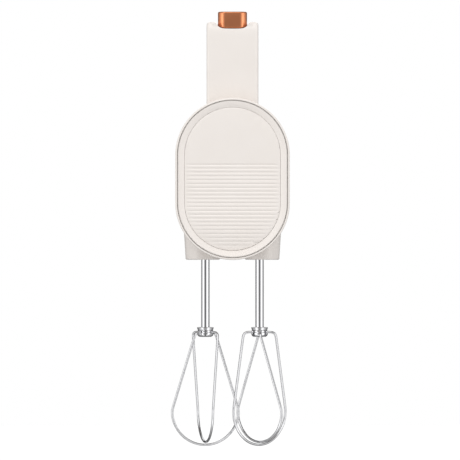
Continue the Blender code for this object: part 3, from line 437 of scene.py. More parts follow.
@dataclass(frozen=True)
class Ring:
    """An upright stadium outline at a depth."""

    y: float
    half: float
    low: float
    high: float

    def inset(self, amount: float) -> "Ring":
        """The same outline, drawn in."""
        return Ring(self.y, self.half - amount, self.low + amount, self.high - amount)

    def at(self, y: float) -> "Ring":
        """The same outline at another depth."""
        return Ring(y, self.half, self.low, self.high)

    def depth_inside(self, point: Vector) -> float:
        """How far inside the outline a point is, whatever its depth."""
        centre = min(max(point.z, self.low + self.half), self.high - self.half)
        return self.half - math.hypot(point.x, point.z - centre)


class Form:
    """One mesh on the bench. Parts of it are picked in code, and operators shape them."""

    def __init__(self, thing: bpy.types.Object) -> None:
        """Keeps the object."""
        self.thing = thing

    @staticmethod
    def clear() -> None:
        """Leaves edit mode and selects nothing."""
        if bpy.context.mode != "OBJECT":
            bpy.ops.object.mode_set(mode="OBJECT")
        bpy.ops.object.select_all(action="DESELECT")

    @classmethod
    def start(cls, name: str, add: Callable[..., Any], **sizes: Any) -> "Form":
        """Adds a primitive to work from.

        Args:
            name: The piece's name.
            add: The operator.
            **sizes: Its settings.

        Returns:
            The form, with its place in its mesh.
        """
        cls.clear()
        add(**sizes)
        thing = bpy.context.active_object
        thing.name = name
        thing.data.name = name
        bpy.ops.object.transform_apply(location=True, rotation=True, scale=True)
        return cls(thing)

    def activate(self) -> None:
        """Selects this object only."""
        self.clear()
        self.thing.select_set(True)
        bpy.context.view_layer.objects.active = self.thing

    @contextmanager
    def editing(self) -> Iterator[None]:
        """Edit mode, with all selected."""
        self.activate()
        bpy.ops.object.mode_set(mode="EDIT")
        bpy.ops.mesh.select_mode(type="VERT")
        bpy.ops.mesh.select_all(action="SELECT")
        yield
        bpy.ops.object.mode_set(mode="OBJECT")

    def pick(self, kind: Kind, test: Callable[[Any], bool]) -> None:
        """Selects by a test, in edit mode.

        Args:
            kind: What to select.
            test: Says whether a point or edge is taken.
        """
        bpy.ops.mesh.select_mode(type=kind.value)
        bpy.ops.mesh.select_all(action="DESELECT")
        mesh = bmesh.from_edit_mesh(self.thing.data)
        for item in mesh.verts if kind is Kind.POINTS else mesh.edges:
            if test(item):
                item.select_set(True)
        mesh.select_flush_mode()
        bmesh.update_edit_mesh(self.thing.data)

    @staticmethod
    def extrude(move: Vector | tuple[float, float, float]) -> None:
        """Extrudes what is selected."""
        bpy.ops.mesh.extrude_region_move(TRANSFORM_OT_translate={"value": tuple(move)})

    @staticmethod
    def outward() -> None:
        """Merges doubles and turns all faces outwards."""
        bpy.ops.mesh.select_all(action="SELECT")
        bpy.ops.mesh.remove_doubles(threshold=MERGE)
        bpy.ops.mesh.normals_make_consistent(inside=False)

    @classmethod
    def traced(cls, name: str, points: Sequence[Vector]) -> "Form":
        """Draws a chain of edges.

        Args:
            name: The piece's name.
            points: Where the chain goes.

        Returns:
            The chain.
        """
        form = cls.start(name, bpy.ops.mesh.primitive_plane_add, size=MM, location=points[0])
        with form.editing():
            bpy.ops.mesh.merge(type="CENTER")
            for here, there in zip(points, points[1:]):
                cls.extrude(there - here)
        return form

    @classmethod
    def lofted(cls, name: str, rings: Sequence[Ring], looped: bool = False, arc: int = 48) -> "Form":
        """Extrudes a stadium outline from ring to ring.

        Args:
            name: The piece's name.
            rings: The outlines in order.
            looped: Whether the last ring closes on the first.
            arc: Points on each half circle.

        Returns:
            A closed form.
        """
        first = rings[0]
        form = cls.start(
            name,
            bpy.ops.mesh.primitive_circle_add,
            vertices=2 * arc,
            radius=first.half,
            location=(0.0, first.y, first.low + first.half),
            rotation=(math.pi / 2, math.pi / (2 * arc), 0.0),
        )
        with form.editing():
            form.pick(Kind.POINTS, lambda point: point.co.z > first.low + first.half)
            bpy.ops.transform.translate(value=(0.0, 0.0, first.high - first.low - 2 * first.half))
            bpy.ops.mesh.select_all(action="SELECT")
            for here, there in zip(rings, rings[1:]):
                form._next_ring(here, there)
            if not looped:
                bpy.ops.mesh.edge_face_add()
                form.pick(Kind.EDGES, lambda edge: edge.is_boundary)
                bpy.ops.mesh.edge_face_add()
            cls.outward()
        return form

    def _next_ring(self, here: Ring, there: Ring) -> None:
        """Extrudes the selected ring to the next one.

        Args:
            here: The selected ring.
            there: The next one.
        """
        self.extrude((0.0, there.y - here.y, 0.0))
        mesh = bmesh.from_edit_mesh(self.thing.data)
        mesh.verts.index_update()
        ring = {point.index for point in mesh.verts if point.select}
        middle = (here.low + here.high) / 2
        factor = there.half / here.half
        for upper in (True, False):
            old = here.high - here.half if upper else here.low + here.half
            new = there.high - there.half if upper else there.low + there.half
            self.pick(Kind.POINTS, lambda point: point.index in ring and (point.co.z > middle) == upper)
            bpy.ops.transform.resize(value=(factor, 1.0, factor), center_override=(0.0, there.y, old))
            bpy.ops.transform.translate(value=(0.0, 0.0, new - old))
        self.pick(Kind.POINTS, lambda point: point.index in ring)

    @classmethod
    def turned(
        cls,
        name: str,
        profile: Sequence[tuple[float, float]],
        centre: tuple[float, float, float] = (0.0, 0.0, 0.0),
        axis: Axis = Axis.Z,
        steps: int = 48,
        closed: bool = False,
    ) -> "Form":
        """Spins a profile round an axis.

        Args:
            name: The piece's name.
            profile: Pairs of radius and place along the axis.
            centre: A point on the axis.
            axis: The axis.
            steps: Faces round it.
            closed: Whether the profile is a loop.

        Returns:
            A closed form.
        """
        pairs = [*profile, profile[0]] if closed else list(profile)
        along = axis.vector
        points = [Vector(centre) + Axis.X.vector * radius + along * place for radius, place in pairs]
        form = cls.traced(name, points)
        with form.editing():
            bpy.ops.mesh.spin(steps=steps, angle=math.tau, center=centre, axis=axis.value, use_auto_merge=True)
            cls.outward()
        return form

    @classmethod
    def cylinder(
        cls,
        name: str,
        radius: float,
        ends: tuple[float, float],
        centre: tuple[float, float, float],
        axis: Axis = Axis.Z,
        steps: int = 24,
    ) -> "Form":
        """A cylinder between two places along an axis."""
        low, high = ends
        return cls.turned(name, [(0.0, low), (radius, low), (radius, high), (0.0, high)], centre, axis, steps)

    @classmethod
    def filled(cls, name: str, outline: Sequence[Vector], move: Vector) -> "Form":
        """Fills a flat outline and extrudes it.

        Args:
            name: The piece's name.
            outline: Points in order round it.
            move: How far it is extruded.

        Returns:
            A closed form.
        """
        form = cls.traced(name, [*outline, outline[0]])
        with form.editing():
            bpy.ops.mesh.remove_doubles(threshold=MERGE)
            bpy.ops.mesh.select_all(action="SELECT")
            bpy.ops.mesh.edge_face_add()
            cls.extrude(move)
            cls.outward()
        return form

    @classmethod
    def block(cls, name: str, low: Sequence[float], high: Sequence[float]) -> "Form":
        """A rectangular block to cut with or to shape.

        Args:
            name: The piece's name.
            low: Its lowest corner.
            high: Its highest corner.

        Returns:
            The block.
        """
        low, high = Vector(low), Vector(high)
        add = bpy.ops.mesh.primitive_cube_add
        return cls.start(name, add, size=1.0, location=(low + high) / 2, scale=high - low)

    @classmethod
    def wire(cls, name: str, points: Sequence[Vector], radius: float) -> "Form":
        """A round wire with rounded-off shading and closed ends.

        Args:
            name: The piece's name.
            points: Its centre line.
            radius: Its radius.

        Returns:
            A closed tube.
        """
        form = cls.traced(name, points)
        form.activate()
        bpy.ops.object.convert(target="CURVE")
        curve = bpy.context.active_object.data
        curve.bevel_depth = radius
        curve.bevel_resolution = 5
        curve.use_fill_caps = True
        bpy.ops.object.convert(target="MESH")
        form = cls(bpy.context.active_object)
        form.thing.name = name
        with form.editing():
            cls.outward()
        return form

    def round_edges(self, width: float, segments: int, test: Callable[[Any], bool]) -> "Form":
        """Rounds chosen edges.

        Args:
            width: The rounding's width.
            segments: Faces across it.
            test: Says whether an edge is taken.

        Returns:
            This form.
        """
        with self.editing():
            self.pick(Kind.EDGES, test)
            bpy.ops.mesh.bevel(
                offset=width, offset_type="OFFSET", segments=segments, affect="EDGES", clamp_overlap=False
            )
            self.outward()
        return self

    def soften(self, width: float, segments: int = 3, angle: float = 40.0) -> "Form":
        """Breaks every sharp edge with a Bevel modifier.

        Args:
            width: The rounding's width.
            segments: Faces across it.
            angle: Edges sharper than this are rounded, in degrees.

        Returns:
            This form.
        """
        bevel = self.thing.modifiers.new("edges", "BEVEL")
        bevel.width = width
        bevel.segments = segments
        bevel.limit_method = "ANGLE"
        bevel.angle_limit = math.radians(angle)
        bevel.miter_outer = "MITER_ARC"
        return self.apply(bevel)

    def apply(self, modifier: bpy.types.Modifier) -> "Form":
        """Applies a modifier.

        Args:
            modifier: The modifier.

        Returns:
            This form.
        """
        self.activate()
        bpy.ops.object.modifier_apply(modifier=modifier.name)
        return self

    def combine(self, other: "Form", operation: str) -> "Form":
        """Applies a Boolean with another form, which is used up.

        Args:
            other: The other form.
            operation: DIFFERENCE, UNION or INTERSECT.

        Returns:
            This form.
        """
        boolean = self.thing.modifiers.new("combine", "BOOLEAN")
        boolean.operation = operation
        boolean.solver = "EXACT"
        boolean.object = other.thing
        self.apply(boolean)
        bpy.data.objects.remove(other.thing)
        return self

    def cut(self, *others: "Form") -> "Form":
        """Cuts other forms out of this one.

        Args:
            *others: The other forms.

        Returns:
            This form.
        """
        for other in others:
            self.combine(other, "DIFFERENCE")
        return self

    def join(self, *others: "Form") -> "Form":
        """Joins other forms to this one.

        Args:
            *others: The other forms.

        Returns:
            This form.
        """
        for other in others:
            self.combine(other, "UNION")
        return self

    def halve(self, z: float, keep_upper: bool) -> "Form":
        """Keeps what is above or below a height, and closes it.

        Args:
            z: The height.
            keep_upper: Whether the upper part is kept.

        Returns:
            This form.
        """
        with self.editing():
            bpy.ops.mesh.bisect(
                plane_co=(0.0, 0.0, z),
                plane_no=(0.0, 0.0, 1.0),
                use_fill=True,
                clear_inner=keep_upper,
                clear_outer=not keep_upper,
            )
        return self

    def slice(self, axis: Axis, places: Sequence[float]) -> "Form":
        """Cuts lines across the form, without parting it.

        Args:
            axis: The lines lie across this axis.
            places: Where they are.

        Returns:
            This form.
        """
        with self.editing():
            for place in places:
                bpy.ops.mesh.select_all(action="SELECT")
                bpy.ops.mesh.bisect(plane_co=axis.vector * place, plane_no=axis.value)
        return self

    def push(self, axis: Axis, reach: float, share: Callable[[Vector], float]) -> "Form":
        """Moves each point along an axis by its share of a reach, with a Displace modifier.

        Args:
            axis: The direction.
            reach: The full move.
            share: The share of it at a place, from 0 to 1.

        Returns:
            This form.
        """
        group = self.thing.vertex_groups.new(name="push")
        for vertex in self.thing.data.vertices:
            weight = share(vertex.co)
            if weight > 0.0:
                group.add([vertex.index], weight, "REPLACE")
        shift = self.thing.modifiers.new("push", "DISPLACE")
        shift.direction = axis.name
        shift.mid_level = 0.0
        shift.strength = reach
        shift.vertex_group = group.name
        self.apply(shift)
        self.thing.vertex_groups.clear()
        return self

    def smooth(self, angle: float = 32.0) -> "Form":
        """Smooths the shading across flat enough edges.

        Args:
            angle: The steepest one, in degrees.

        Returns:
            This form.
        """
        self.activate()
        bpy.ops.object.shade_smooth_by_angle(angle=math.radians(angle))
        return self


Pair = tuple[float, float]


def arc(centre: Pair, radius: float, start: float, end: float, steps: int) -> list[Pair]:
    """Points on an arc from one angle to another, in degrees."""
    angles = [math.radians(start + (end - start) * step / steps) for step in range(steps + 1)]
    return [(centre[0] + radius * math.cos(angle), centre[1] + radius * math.sin(angle)) for angle in angles]


def offsets(radius: float, place: float, moves: Sequence[Pair]) -> list[Pair]:
    """Points of a profile, by how many millimetres they are off one place."""
    return [(radius + out * MM, place + along * MM) for out, along in moves]


def clamp(value: float) -> float:
    """The value, held between 0 and 1."""
    return min(max(value, 0.0), 1.0)


def middle(node: str) -> tuple[float, float, float]:
    """The middle of a CAD node's box."""
    low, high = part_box(node)
    return tuple((first + second) / 2 for first, second in zip(low, high))


def reach(edge: Any, axis: Axis = Axis.Z) -> float:
    """How far an edge runs along an axis."""
    return abs((edge.verts[0].co - edge.verts[1].co).dot(axis.vector))


# Sub-assemblies


@dataclass(frozen=True)
class Shape:
    """The barrel's outlines, which every casing piece follows."""

    nose_y: float = -95.0 * MM
    rear_y: float = 88.0 * MM
    nose_half: float = 44.75 * MM
    rear_half: float = 42.0 * MM
    nose_low: float = 147.0 * MM
    nose_high: float = 273.5 * MM
    rise: float = 9.0 * MM
    drop: float = 15.0 * MM
    rim_depth: float = 7.0 * MM
    rim_step: float = 0.8 * MM
    lip: float = 1.5 * MM

    def ring(self, y: float, inset: float = 0.0) -> Ring:
        """The barrel's outline at a depth.

        Args:
            y: The depth.
            inset: How far it is drawn in.

        Returns:
            The outline.
        """
        share = (y - self.nose_y) / (self.rear_y - self.nose_y)
        half = self.nose_half + (self.rear_half - self.nose_half) * share
        return Ring(y, half, self.nose_low + self.rise * share, self.nose_high - self.drop * share).inset(inset)

    def skin(self, inset: float = 0.0, front: float = 0.0, rear: float = 0.0) -> list[Ring]:
        """Outlines from the rim to the heel, with the rim's edges rounded.

        Args:
            inset: How far the skin is drawn in.
            front: How far it runs on in front.
            rear: How far it runs on behind.

        Returns:
            The outlines.
        """
        edge = self.rim_step
        step_y = self.nose_y + self.rim_depth
        rings = [self.ring(self.nose_y + edge * (1 - math.cos(t)), inset + edge * (1 - math.sin(t)))
                 for t in (math.pi / 8 * step for step in range(5))]
        for share, drop in ((0.0, 0.0), (0.25, 0.08), (0.4, 0.3), (0.5, 0.6), (0.62, 0.9), (0.9, 1.0)):
            rings.append(self.ring(step_y + share * edge, inset + drop * edge))
        for share in (0.2, 0.4, 0.6, 0.8, 1.0):
            rings.append(self.ring(step_y + edge + (self.rear_y - step_y - edge) * share, inset + edge))
        rings[0] = rings[0].at(rings[0].y - front)
        rings[-1] = rings[-1].at(rings[-1].y + rear)
        return rings

    def bezel(self, inset: float, y: float) -> Ring:
        """The bezel's outline, drawn in, at a depth."""
        return self.ring(self.nose_y, self.lip + GAP + inset).at(y)

    def seam(self) -> float:
        """Height of the seam between the barrel's halves."""
        return (self.nose_low + self.nose_high) / 2


@dataclass(frozen=True)
class Nose:
    """The bezel and the domed, grooved panel that it frames."""

    shape: Shape
    band: float = 5.4 * MM
    land: float = 1.2 * MM
    recess: float = 1.1 * MM
    depth: float = 6.4 * MM
    chin: float = 3.3 * MM
    chin_top: float = 184.0 * MM
    seam: float = 0.12 * MM
    thickness: float = 2.4 * MM
    pitch: float = 3.0 * MM
    highest: float = 221.3 * MM
    grooves: int = 22
    groove_half: float = 0.85 * MM
    groove_depth: float = 0.42 * MM
    fade: float = 2.6 * MM
    edge: float = 0.35 * MM

    def build(self, paint: Paint) -> None:
        """Builds and dresses both pieces."""
        paint.dress(self._bezel(), "housing_plastic", "housing", "nose_bezel")
        paint.dress(self._panel(), "housing_plastic", "housing", "nose_panel")

    def _bezel(self) -> Form:
        """A ring with a narrow land and a slope down to the panel, deeper at the chin.

        Returns:
            The bezel.
        """
        front = self.shape.nose_y + GAP
        back = self.shape.nose_y + self.depth
        low = front + self.recess
        sections = [(0.5 * MM, front), (self.land, front), (self.land + 0.5 * MM, front + 0.12 * MM)]
        sections += [(self.band - 0.3 * MM, low - 0.1 * MM), (self.band, low + 0.1 * MM), (self.band, back)]
        sections += [(0.0, back), (0.0, front + 0.3 * MM), (0.1 * MM, front + 0.1 * MM), (0.3 * MM, front)]
        rings = [self.shape.bezel(inset, y) for inset, y in sections]
        form = Form.lofted("nose_bezel_ring", rings, looped=True, arc=72)
        outline = self.shape.bezel(self.land, front)
        wide = self.band - self.land
        form.push(Axis.Y, self.chin, lambda p: self._chin(p) * clamp(outline.depth_inside(p) / wide)
                  if p.y < low + 0.5 * MM else 0.0)
        return form.smooth()

    def _panel(self) -> Form:
        """A plate that is cut into strips, grooved, then bent to its dome.

        Returns:
            The panel.
        """
        front = self.shape.nose_y + 0.2 * MM
        outline = self.shape.bezel(self.band + self.seam, front)
        form = Form.lofted("nose_grille", [outline, outline.at(front + self.thickness)], arc=72)
        shares = (4, 8, 12, 15, 17, 18.6, 19.5)
        places = [*(-share for share in reversed(shares)), 0, *shares]
        form.slice(Axis.X, [outline.half * place / 20 for place in places])
        form.slice(Axis.Z, self._cuts(outline))
        form.round_edges(self.edge, 2, lambda e: all(abs(v.co.y - front) < NEAR for v in e.verts)
                         and any(abs(f.normal.y) < 0.5 for f in e.link_faces))
        form.push(Axis.Y, self.groove_depth, lambda p: self._groove(p, outline) if p.y < front + 0.4 * MM else 0.0)
        form.push(Axis.Y, self.recess, lambda p: self._edge(p, outline))
        form.push(Axis.Y, self.chin, self._chin)
        return form.smooth(50.0)

    @staticmethod
    def _edge(point: Vector, outline: Ring) -> float:
        """How far the dome falls away at a point, from 0 at its crown to 1 at its edge."""
        return (1.0 - clamp(outline.depth_inside(point) / outline.half)) ** 3

    def _chin(self, point: Vector) -> float:
        """How far the chin falls back at a point, from 0 above it to 1 at its lowest."""
        low = self.shape.nose_low + self.band
        return clamp((self.chin_top - point.z) / (self.chin_top - low)) ** 3

    def _cuts(self, outline: Ring) -> list[float]:
        """Heights at which the panel is cut into strips.

        Args:
            outline: The panel's outline.

        Returns:
            The heights.
        """
        places = [outline.low + 1.0 * MM, outline.low + 2.4 * MM]
        for index in range(self.grooves):
            centre = self.highest - index * self.pitch
            places += [centre + self.groove_half * share for share in (-1.0, -0.62, -0.3, 0.0, 0.3, 0.62, 1.0)]
        spread = outline.high - self.highest - 2 * MM
        places += [self.highest + 2 * MM + spread * share for share in (0.0, 0.15, 0.3, 0.45, 0.6, 0.75, 0.87, 0.95)]
        return [place for place in places if outline.low < place < outline.high]

    def _groove(self, point: Vector, outline: Ring) -> float:
        """How deep the grooves are at a point, from 0 to 1.

        Args:
            point: A point of the panel's front.
            outline: The panel's outline.

        Returns:
            The share of the full depth.
        """
        index = round((self.highest - point.z) / self.pitch)
        if not 0 <= index < self.grooves:
            return 0.0
        off = abs(point.z - (self.highest - index * self.pitch)) / self.groove_half
        if off >= 1.0:
            return 0.0
        inside = clamp((outline.depth_inside(point) - 1.0 * MM) / self.fade)
        return 0.5 * (1.0 + math.cos(math.pi * off)) * inside * inside * (3 - 2 * inside)


@dataclass(frozen=True)
class Handle:
    """The loop: a cover over its outer side, and a base that is part of the upper housing."""

    shape: Shape
    half: float = 20.3 * MM
    top: float = 333.5 * MM
    front: float = -80.0 * MM
    rear: float = 85.5 * MM
    post: float = 29.0 * MM
    grip: float = 29.0 * MM
    cover_depth: float = 11.0 * MM
    cover_edge: float = 2.5 * MM
    grip_edge: float = 7.0 * MM
    steps: int = 8

    def stations(self) -> list[tuple[Vector, Vector]]:
        """Points on the outer and inner side, from the front post's foot to the rear post's.

        Returns:
            The pairs, at x = 0.
        """
        top, front, rear = self.top, self.front, self.rear
        under = top - self.grip
        inner_front, inner_rear = front + self.post, rear - self.post
        foot = self.shape.nose_high - self.shape.drop - 8 * MM
        guides = [
            ((front + 1.0 * MM, foot), (inner_front, foot)),
            ((front + 0.7 * MM, foot + 16 * MM), (inner_front, foot + 14 * MM)),
            ((front + 0.2 * MM, foot + 36 * MM), (inner_front + 1 * MM, foot + 28 * MM)),
            ((front, top - 28 * MM), (inner_front + 5 * MM, under - 9 * MM)),
            ((front + 0.4 * MM, top - 14 * MM), (inner_front + 11 * MM, under - 3 * MM)),
            ((front + 0.9 * MM, top - 6.6 * MM), (inner_front + 16 * MM, under - 0.9 * MM)),
            ((front + 2.0 * MM, top - 3.0 * MM), (inner_front + 18 * MM, under - 0.5 * MM)),
            ((front + 4.0 * MM, top - 0.9 * MM), (inner_front + 21 * MM, under - 0.2 * MM)),
            ((front + 7.2 * MM, top), (inner_front + 25 * MM, under)),
            ((front + 44 * MM, top), (inner_front + 40 * MM, under)),
            ((rear - 62 * MM, top), (inner_rear - 45 * MM, under)),
            ((rear - 38 * MM, top - 2 * MM), (inner_rear - 26 * MM, under - 1.5 * MM)),
            ((rear - 16 * MM, top - 11 * MM), (inner_rear - 11 * MM, under - 7 * MM)),
            ((rear - 4 * MM, top - 28 * MM), (inner_rear - 3 * MM, under - 17 * MM)),
            ((rear, top - 50 * MM), (inner_rear, under - 30 * MM)),
            ((rear, foot), (inner_rear, foot)),
        ]
        found = []
        for index in range(len(guides) - 1):
            around = [guides[min(max(index + shift, 0), len(guides) - 1)] for shift in (-1, 0, 1, 2)]
            for step in range(self.steps):
                pair = [self._between([a[side] for a in around], step / self.steps) for side in (0, 1)]
                found.append((pair[0], pair[1]))
        found.append(tuple(Vector((0.0, *point)) for point in guides[-1]))
        return found

    @staticmethod
    def _between(points: Sequence[tuple[float, float]], share: float) -> Vector:
        """A point on a smooth curve between the second and third of four points.

        Args:
            points: The four points.
            share: How far along.

        Returns:
            The point, at x = 0.
        """
        before, first, second, after = (Vector((0.0, *point)) for point in points)
        cube, square = share**3, share**2
        length = (second - first).length
        return (
            (2 * cube - 3 * square + 1) * first
            + (cube - 2 * square + share) * (second - before).normalized() * length
            + (3 * square - 2 * cube) * second
            + (cube - square) * (after - first).normalized() * length
        )

    def line(self, depth: float | None, back: float = 0.0) -> list[Vector]:
        """A side line at a depth below the outer side.

        Args:
            depth: The depth, or None for the inner side.
            back: How far before the inner side, where depth is None.

        Returns:
            The line.
        """
        points = []
        for outer, inner in self.stations():
            way = (inner - outer).normalized()
            points.append(outer + way * depth if depth is not None else inner - way * back)
        return points

    @staticmethod
    def bar(name: str, one: Sequence[Vector], other: Sequence[Vector], half: float) -> Form:
        """A solid loop between two side lines."""
        side = Axis.X.vector * half
        return Form.filled(name, [point - side for point in (*one, *reversed(other))], side * 2)

    @staticmethod
    def beside(line: Sequence[Vector], half: float) -> Callable[[Any], bool]:
        """A test for the edges along a side line.

        Args:
            line: The line.
            half: Half the piece's width.

        Returns:
            The test.
        """
        spots = {(round(p.y * 1e5), round(p.z * 1e5)) for p in line}
        near = {(a + i, b + j) for a, b in spots for i in (-1, 0, 1) for j in (-1, 0, 1)}

        def on_line(edge: Any) -> bool:
            """Whether both ends are on the line, on one side of the piece."""
            ends = [v.co for v in edge.verts]
            if ends[0].x * ends[1].x < 0 or any(abs(abs(end.x) - half) > NEAR for end in ends):
                return False
            return all((round(end.y * 1e5), round(end.z * 1e5)) in near for end in ends)

        return on_line

    def base(self) -> Form:
        """The channel round the fingers, rounded on its inner side.

        Returns:
            The handle's base.
        """
        seam, inner = self.line(self.cover_depth + GAP), self.line(None)
        form = self.bar("handle_base", seam, inner, self.half)
        form.round_edges(self.grip_edge, 8, self.beside(inner, self.half))
        hollow = self.bar("hollow", self.line(self.cover_depth - WALL), self.line(None, WALL), self.half - WALL)
        return form.cut(hollow)

    def cover(self) -> Form:
        """The outer channel, before its notch.

        Returns:
            The cover.
        """
        outer, seam = self.line(0.0), self.line(self.cover_depth)
        form = self.bar("handle_top", outer, seam, self.half)
        form.round_edges(self.cover_edge, 6, self.beside(outer, self.half))
        hollow = self.bar("hollow", self.line(WALL), self.line(self.cover_depth + WALL), self.half - WALL)
        return form.cut(hollow)


@dataclass(frozen=True)
class Control:
    """The speed control and the notch that it slides in."""

    handle: Handle
    width: float = 22.8 * MM
    length: float = 28.4 * MM
    height: float = 13.1 * MM
    stands: float = 8.1 * MM
    travel: float = 22.0 * MM
    press: float = 3.5 * MM
    corner: float = 5.8 * MM
    edge: float = 1.1 * MM
    side: float = 1.05 * MM
    flare: float = 1.9 * MM
    dish: float = 3.2 * MM
    tray_wall: float = 3.0 * MM

    @property
    def low(self) -> float:
        """The control's underside."""
        return self.handle.top + self.stands - self.height

    @property
    def front(self) -> float:
        """The control's front."""
        return self.handle.front + WALL + 1.1 * MM

    def build(self, paint: Paint) -> None:
        """Builds and dresses the control and the cover with its notch."""
        paint.dress(self._knob(), "copper_plating", "speed_button", "speed_knob")
        paint.dress(self._cover(), "housing_plastic", "housing", "handle_cover")

    def _knob(self) -> Form:
        """A block with well rounded uprights and finer top and bottom edges.

        Returns:
            The control.
        """
        half = self.width / 2
        low = (-half, self.front, self.low)
        high = (half, self.front + self.length, self.low + self.height)
        form = Form.block("speed_control", low, high)
        form.round_edges(self.corner, 10, lambda e: reach(e) > self.height / 2)
        form.round_edges(self.edge, 5, lambda e: reach(e) < MERGE
                         and any(abs(f.normal.z) > 0.9 for f in e.link_faces)
                         and any(abs(f.normal.z) < 0.1 for f in e.link_faces))
        return form.smooth(40.0)

    def _cover(self) -> Form:
        """The cover with a tray below its notch, and a slot for the control's stem.

        Returns:
            The cover.
        """
        handle = self.handle
        shape = handle.shape
        cover = handle.cover()
        cover.cut(Form.lofted("barrel_room", shape.skin(inset=-GAP, front=WALL, rear=GAP)))
        half = self.width / 2 + self.side
        tray_floor = self.low - self.press - 1.0 * MM
        tray_low = tray_floor - self.tray_wall
        rear = self.front + self.length + self.travel + 1.5 * MM
        wall = self.tray_wall
        tray = Form.block("tray", (-half - wall, handle.front + 0.6 * WALL, tray_low),
                          (half + wall, rear + wall, handle.top - 0.5 * WALL))
        cover.join(tray)
        lip = handle.front + WALL + 0.8 * MM
        top = handle.top + 2.0 * MM
        well = Form.block("well", (-half, lip, tray_floor), (half, rear, top))
        well.round_edges(1.2 * MM, 4, lambda e: reach(e) > 4 * MM)
        cover.cut(well)
        cover.cut(self._gate("notch", half, True, top, handle.front - WALL, lip + 0.2 * MM))
        cover.cut(self._gate("chamfer", half, False, top, lip, rear))
        slot_y = self.front + self.length / 2
        low = (-2.8 * MM, slot_y - 3.8 * MM, tray_low - WALL)
        high = (2.8 * MM, slot_y + 3.8 * MM + self.travel, tray_floor + 1.0 * MM)
        cover.cut(Form.block("slot", low, high))
        return cover.smooth()

    def _gate(self, name: str, half: float, dished: bool, top: float, start: float, end: float) -> Form:
        """A cutter whose sides flare out at the handle's top.

        Args:
            name: Its name.
            half: Half its width.
            dished: Whether its underside is the shallow dish of the notch.
            top: Its highest height.
            start: Where it starts along Y.
            end: Where it ends.

        Returns:
            The cutter.
        """
        low = self.low - 0.4 * MM
        shoulder = low + self.dish
        right = []
        if dished:
            right = [(half * share, low + self.dish * share**5) for share in (0.3, 0.5, 0.62, 0.72, 0.8, 0.87, 0.94)]
        right.append((half, shoulder))
        rise = self.handle.top - shoulder
        right += [(half + self.flare * (step / 6) ** 2, shoulder + rise * step / 6) for step in range(1, 7)]
        right.append((half + 2 * self.flare, top))
        outline = right + [(-x, z) for x, z in reversed(right)]
        return Form.filled(name, [Vector((x, start, z)) for x, z in outline], Axis.Y.vector * (end - start))


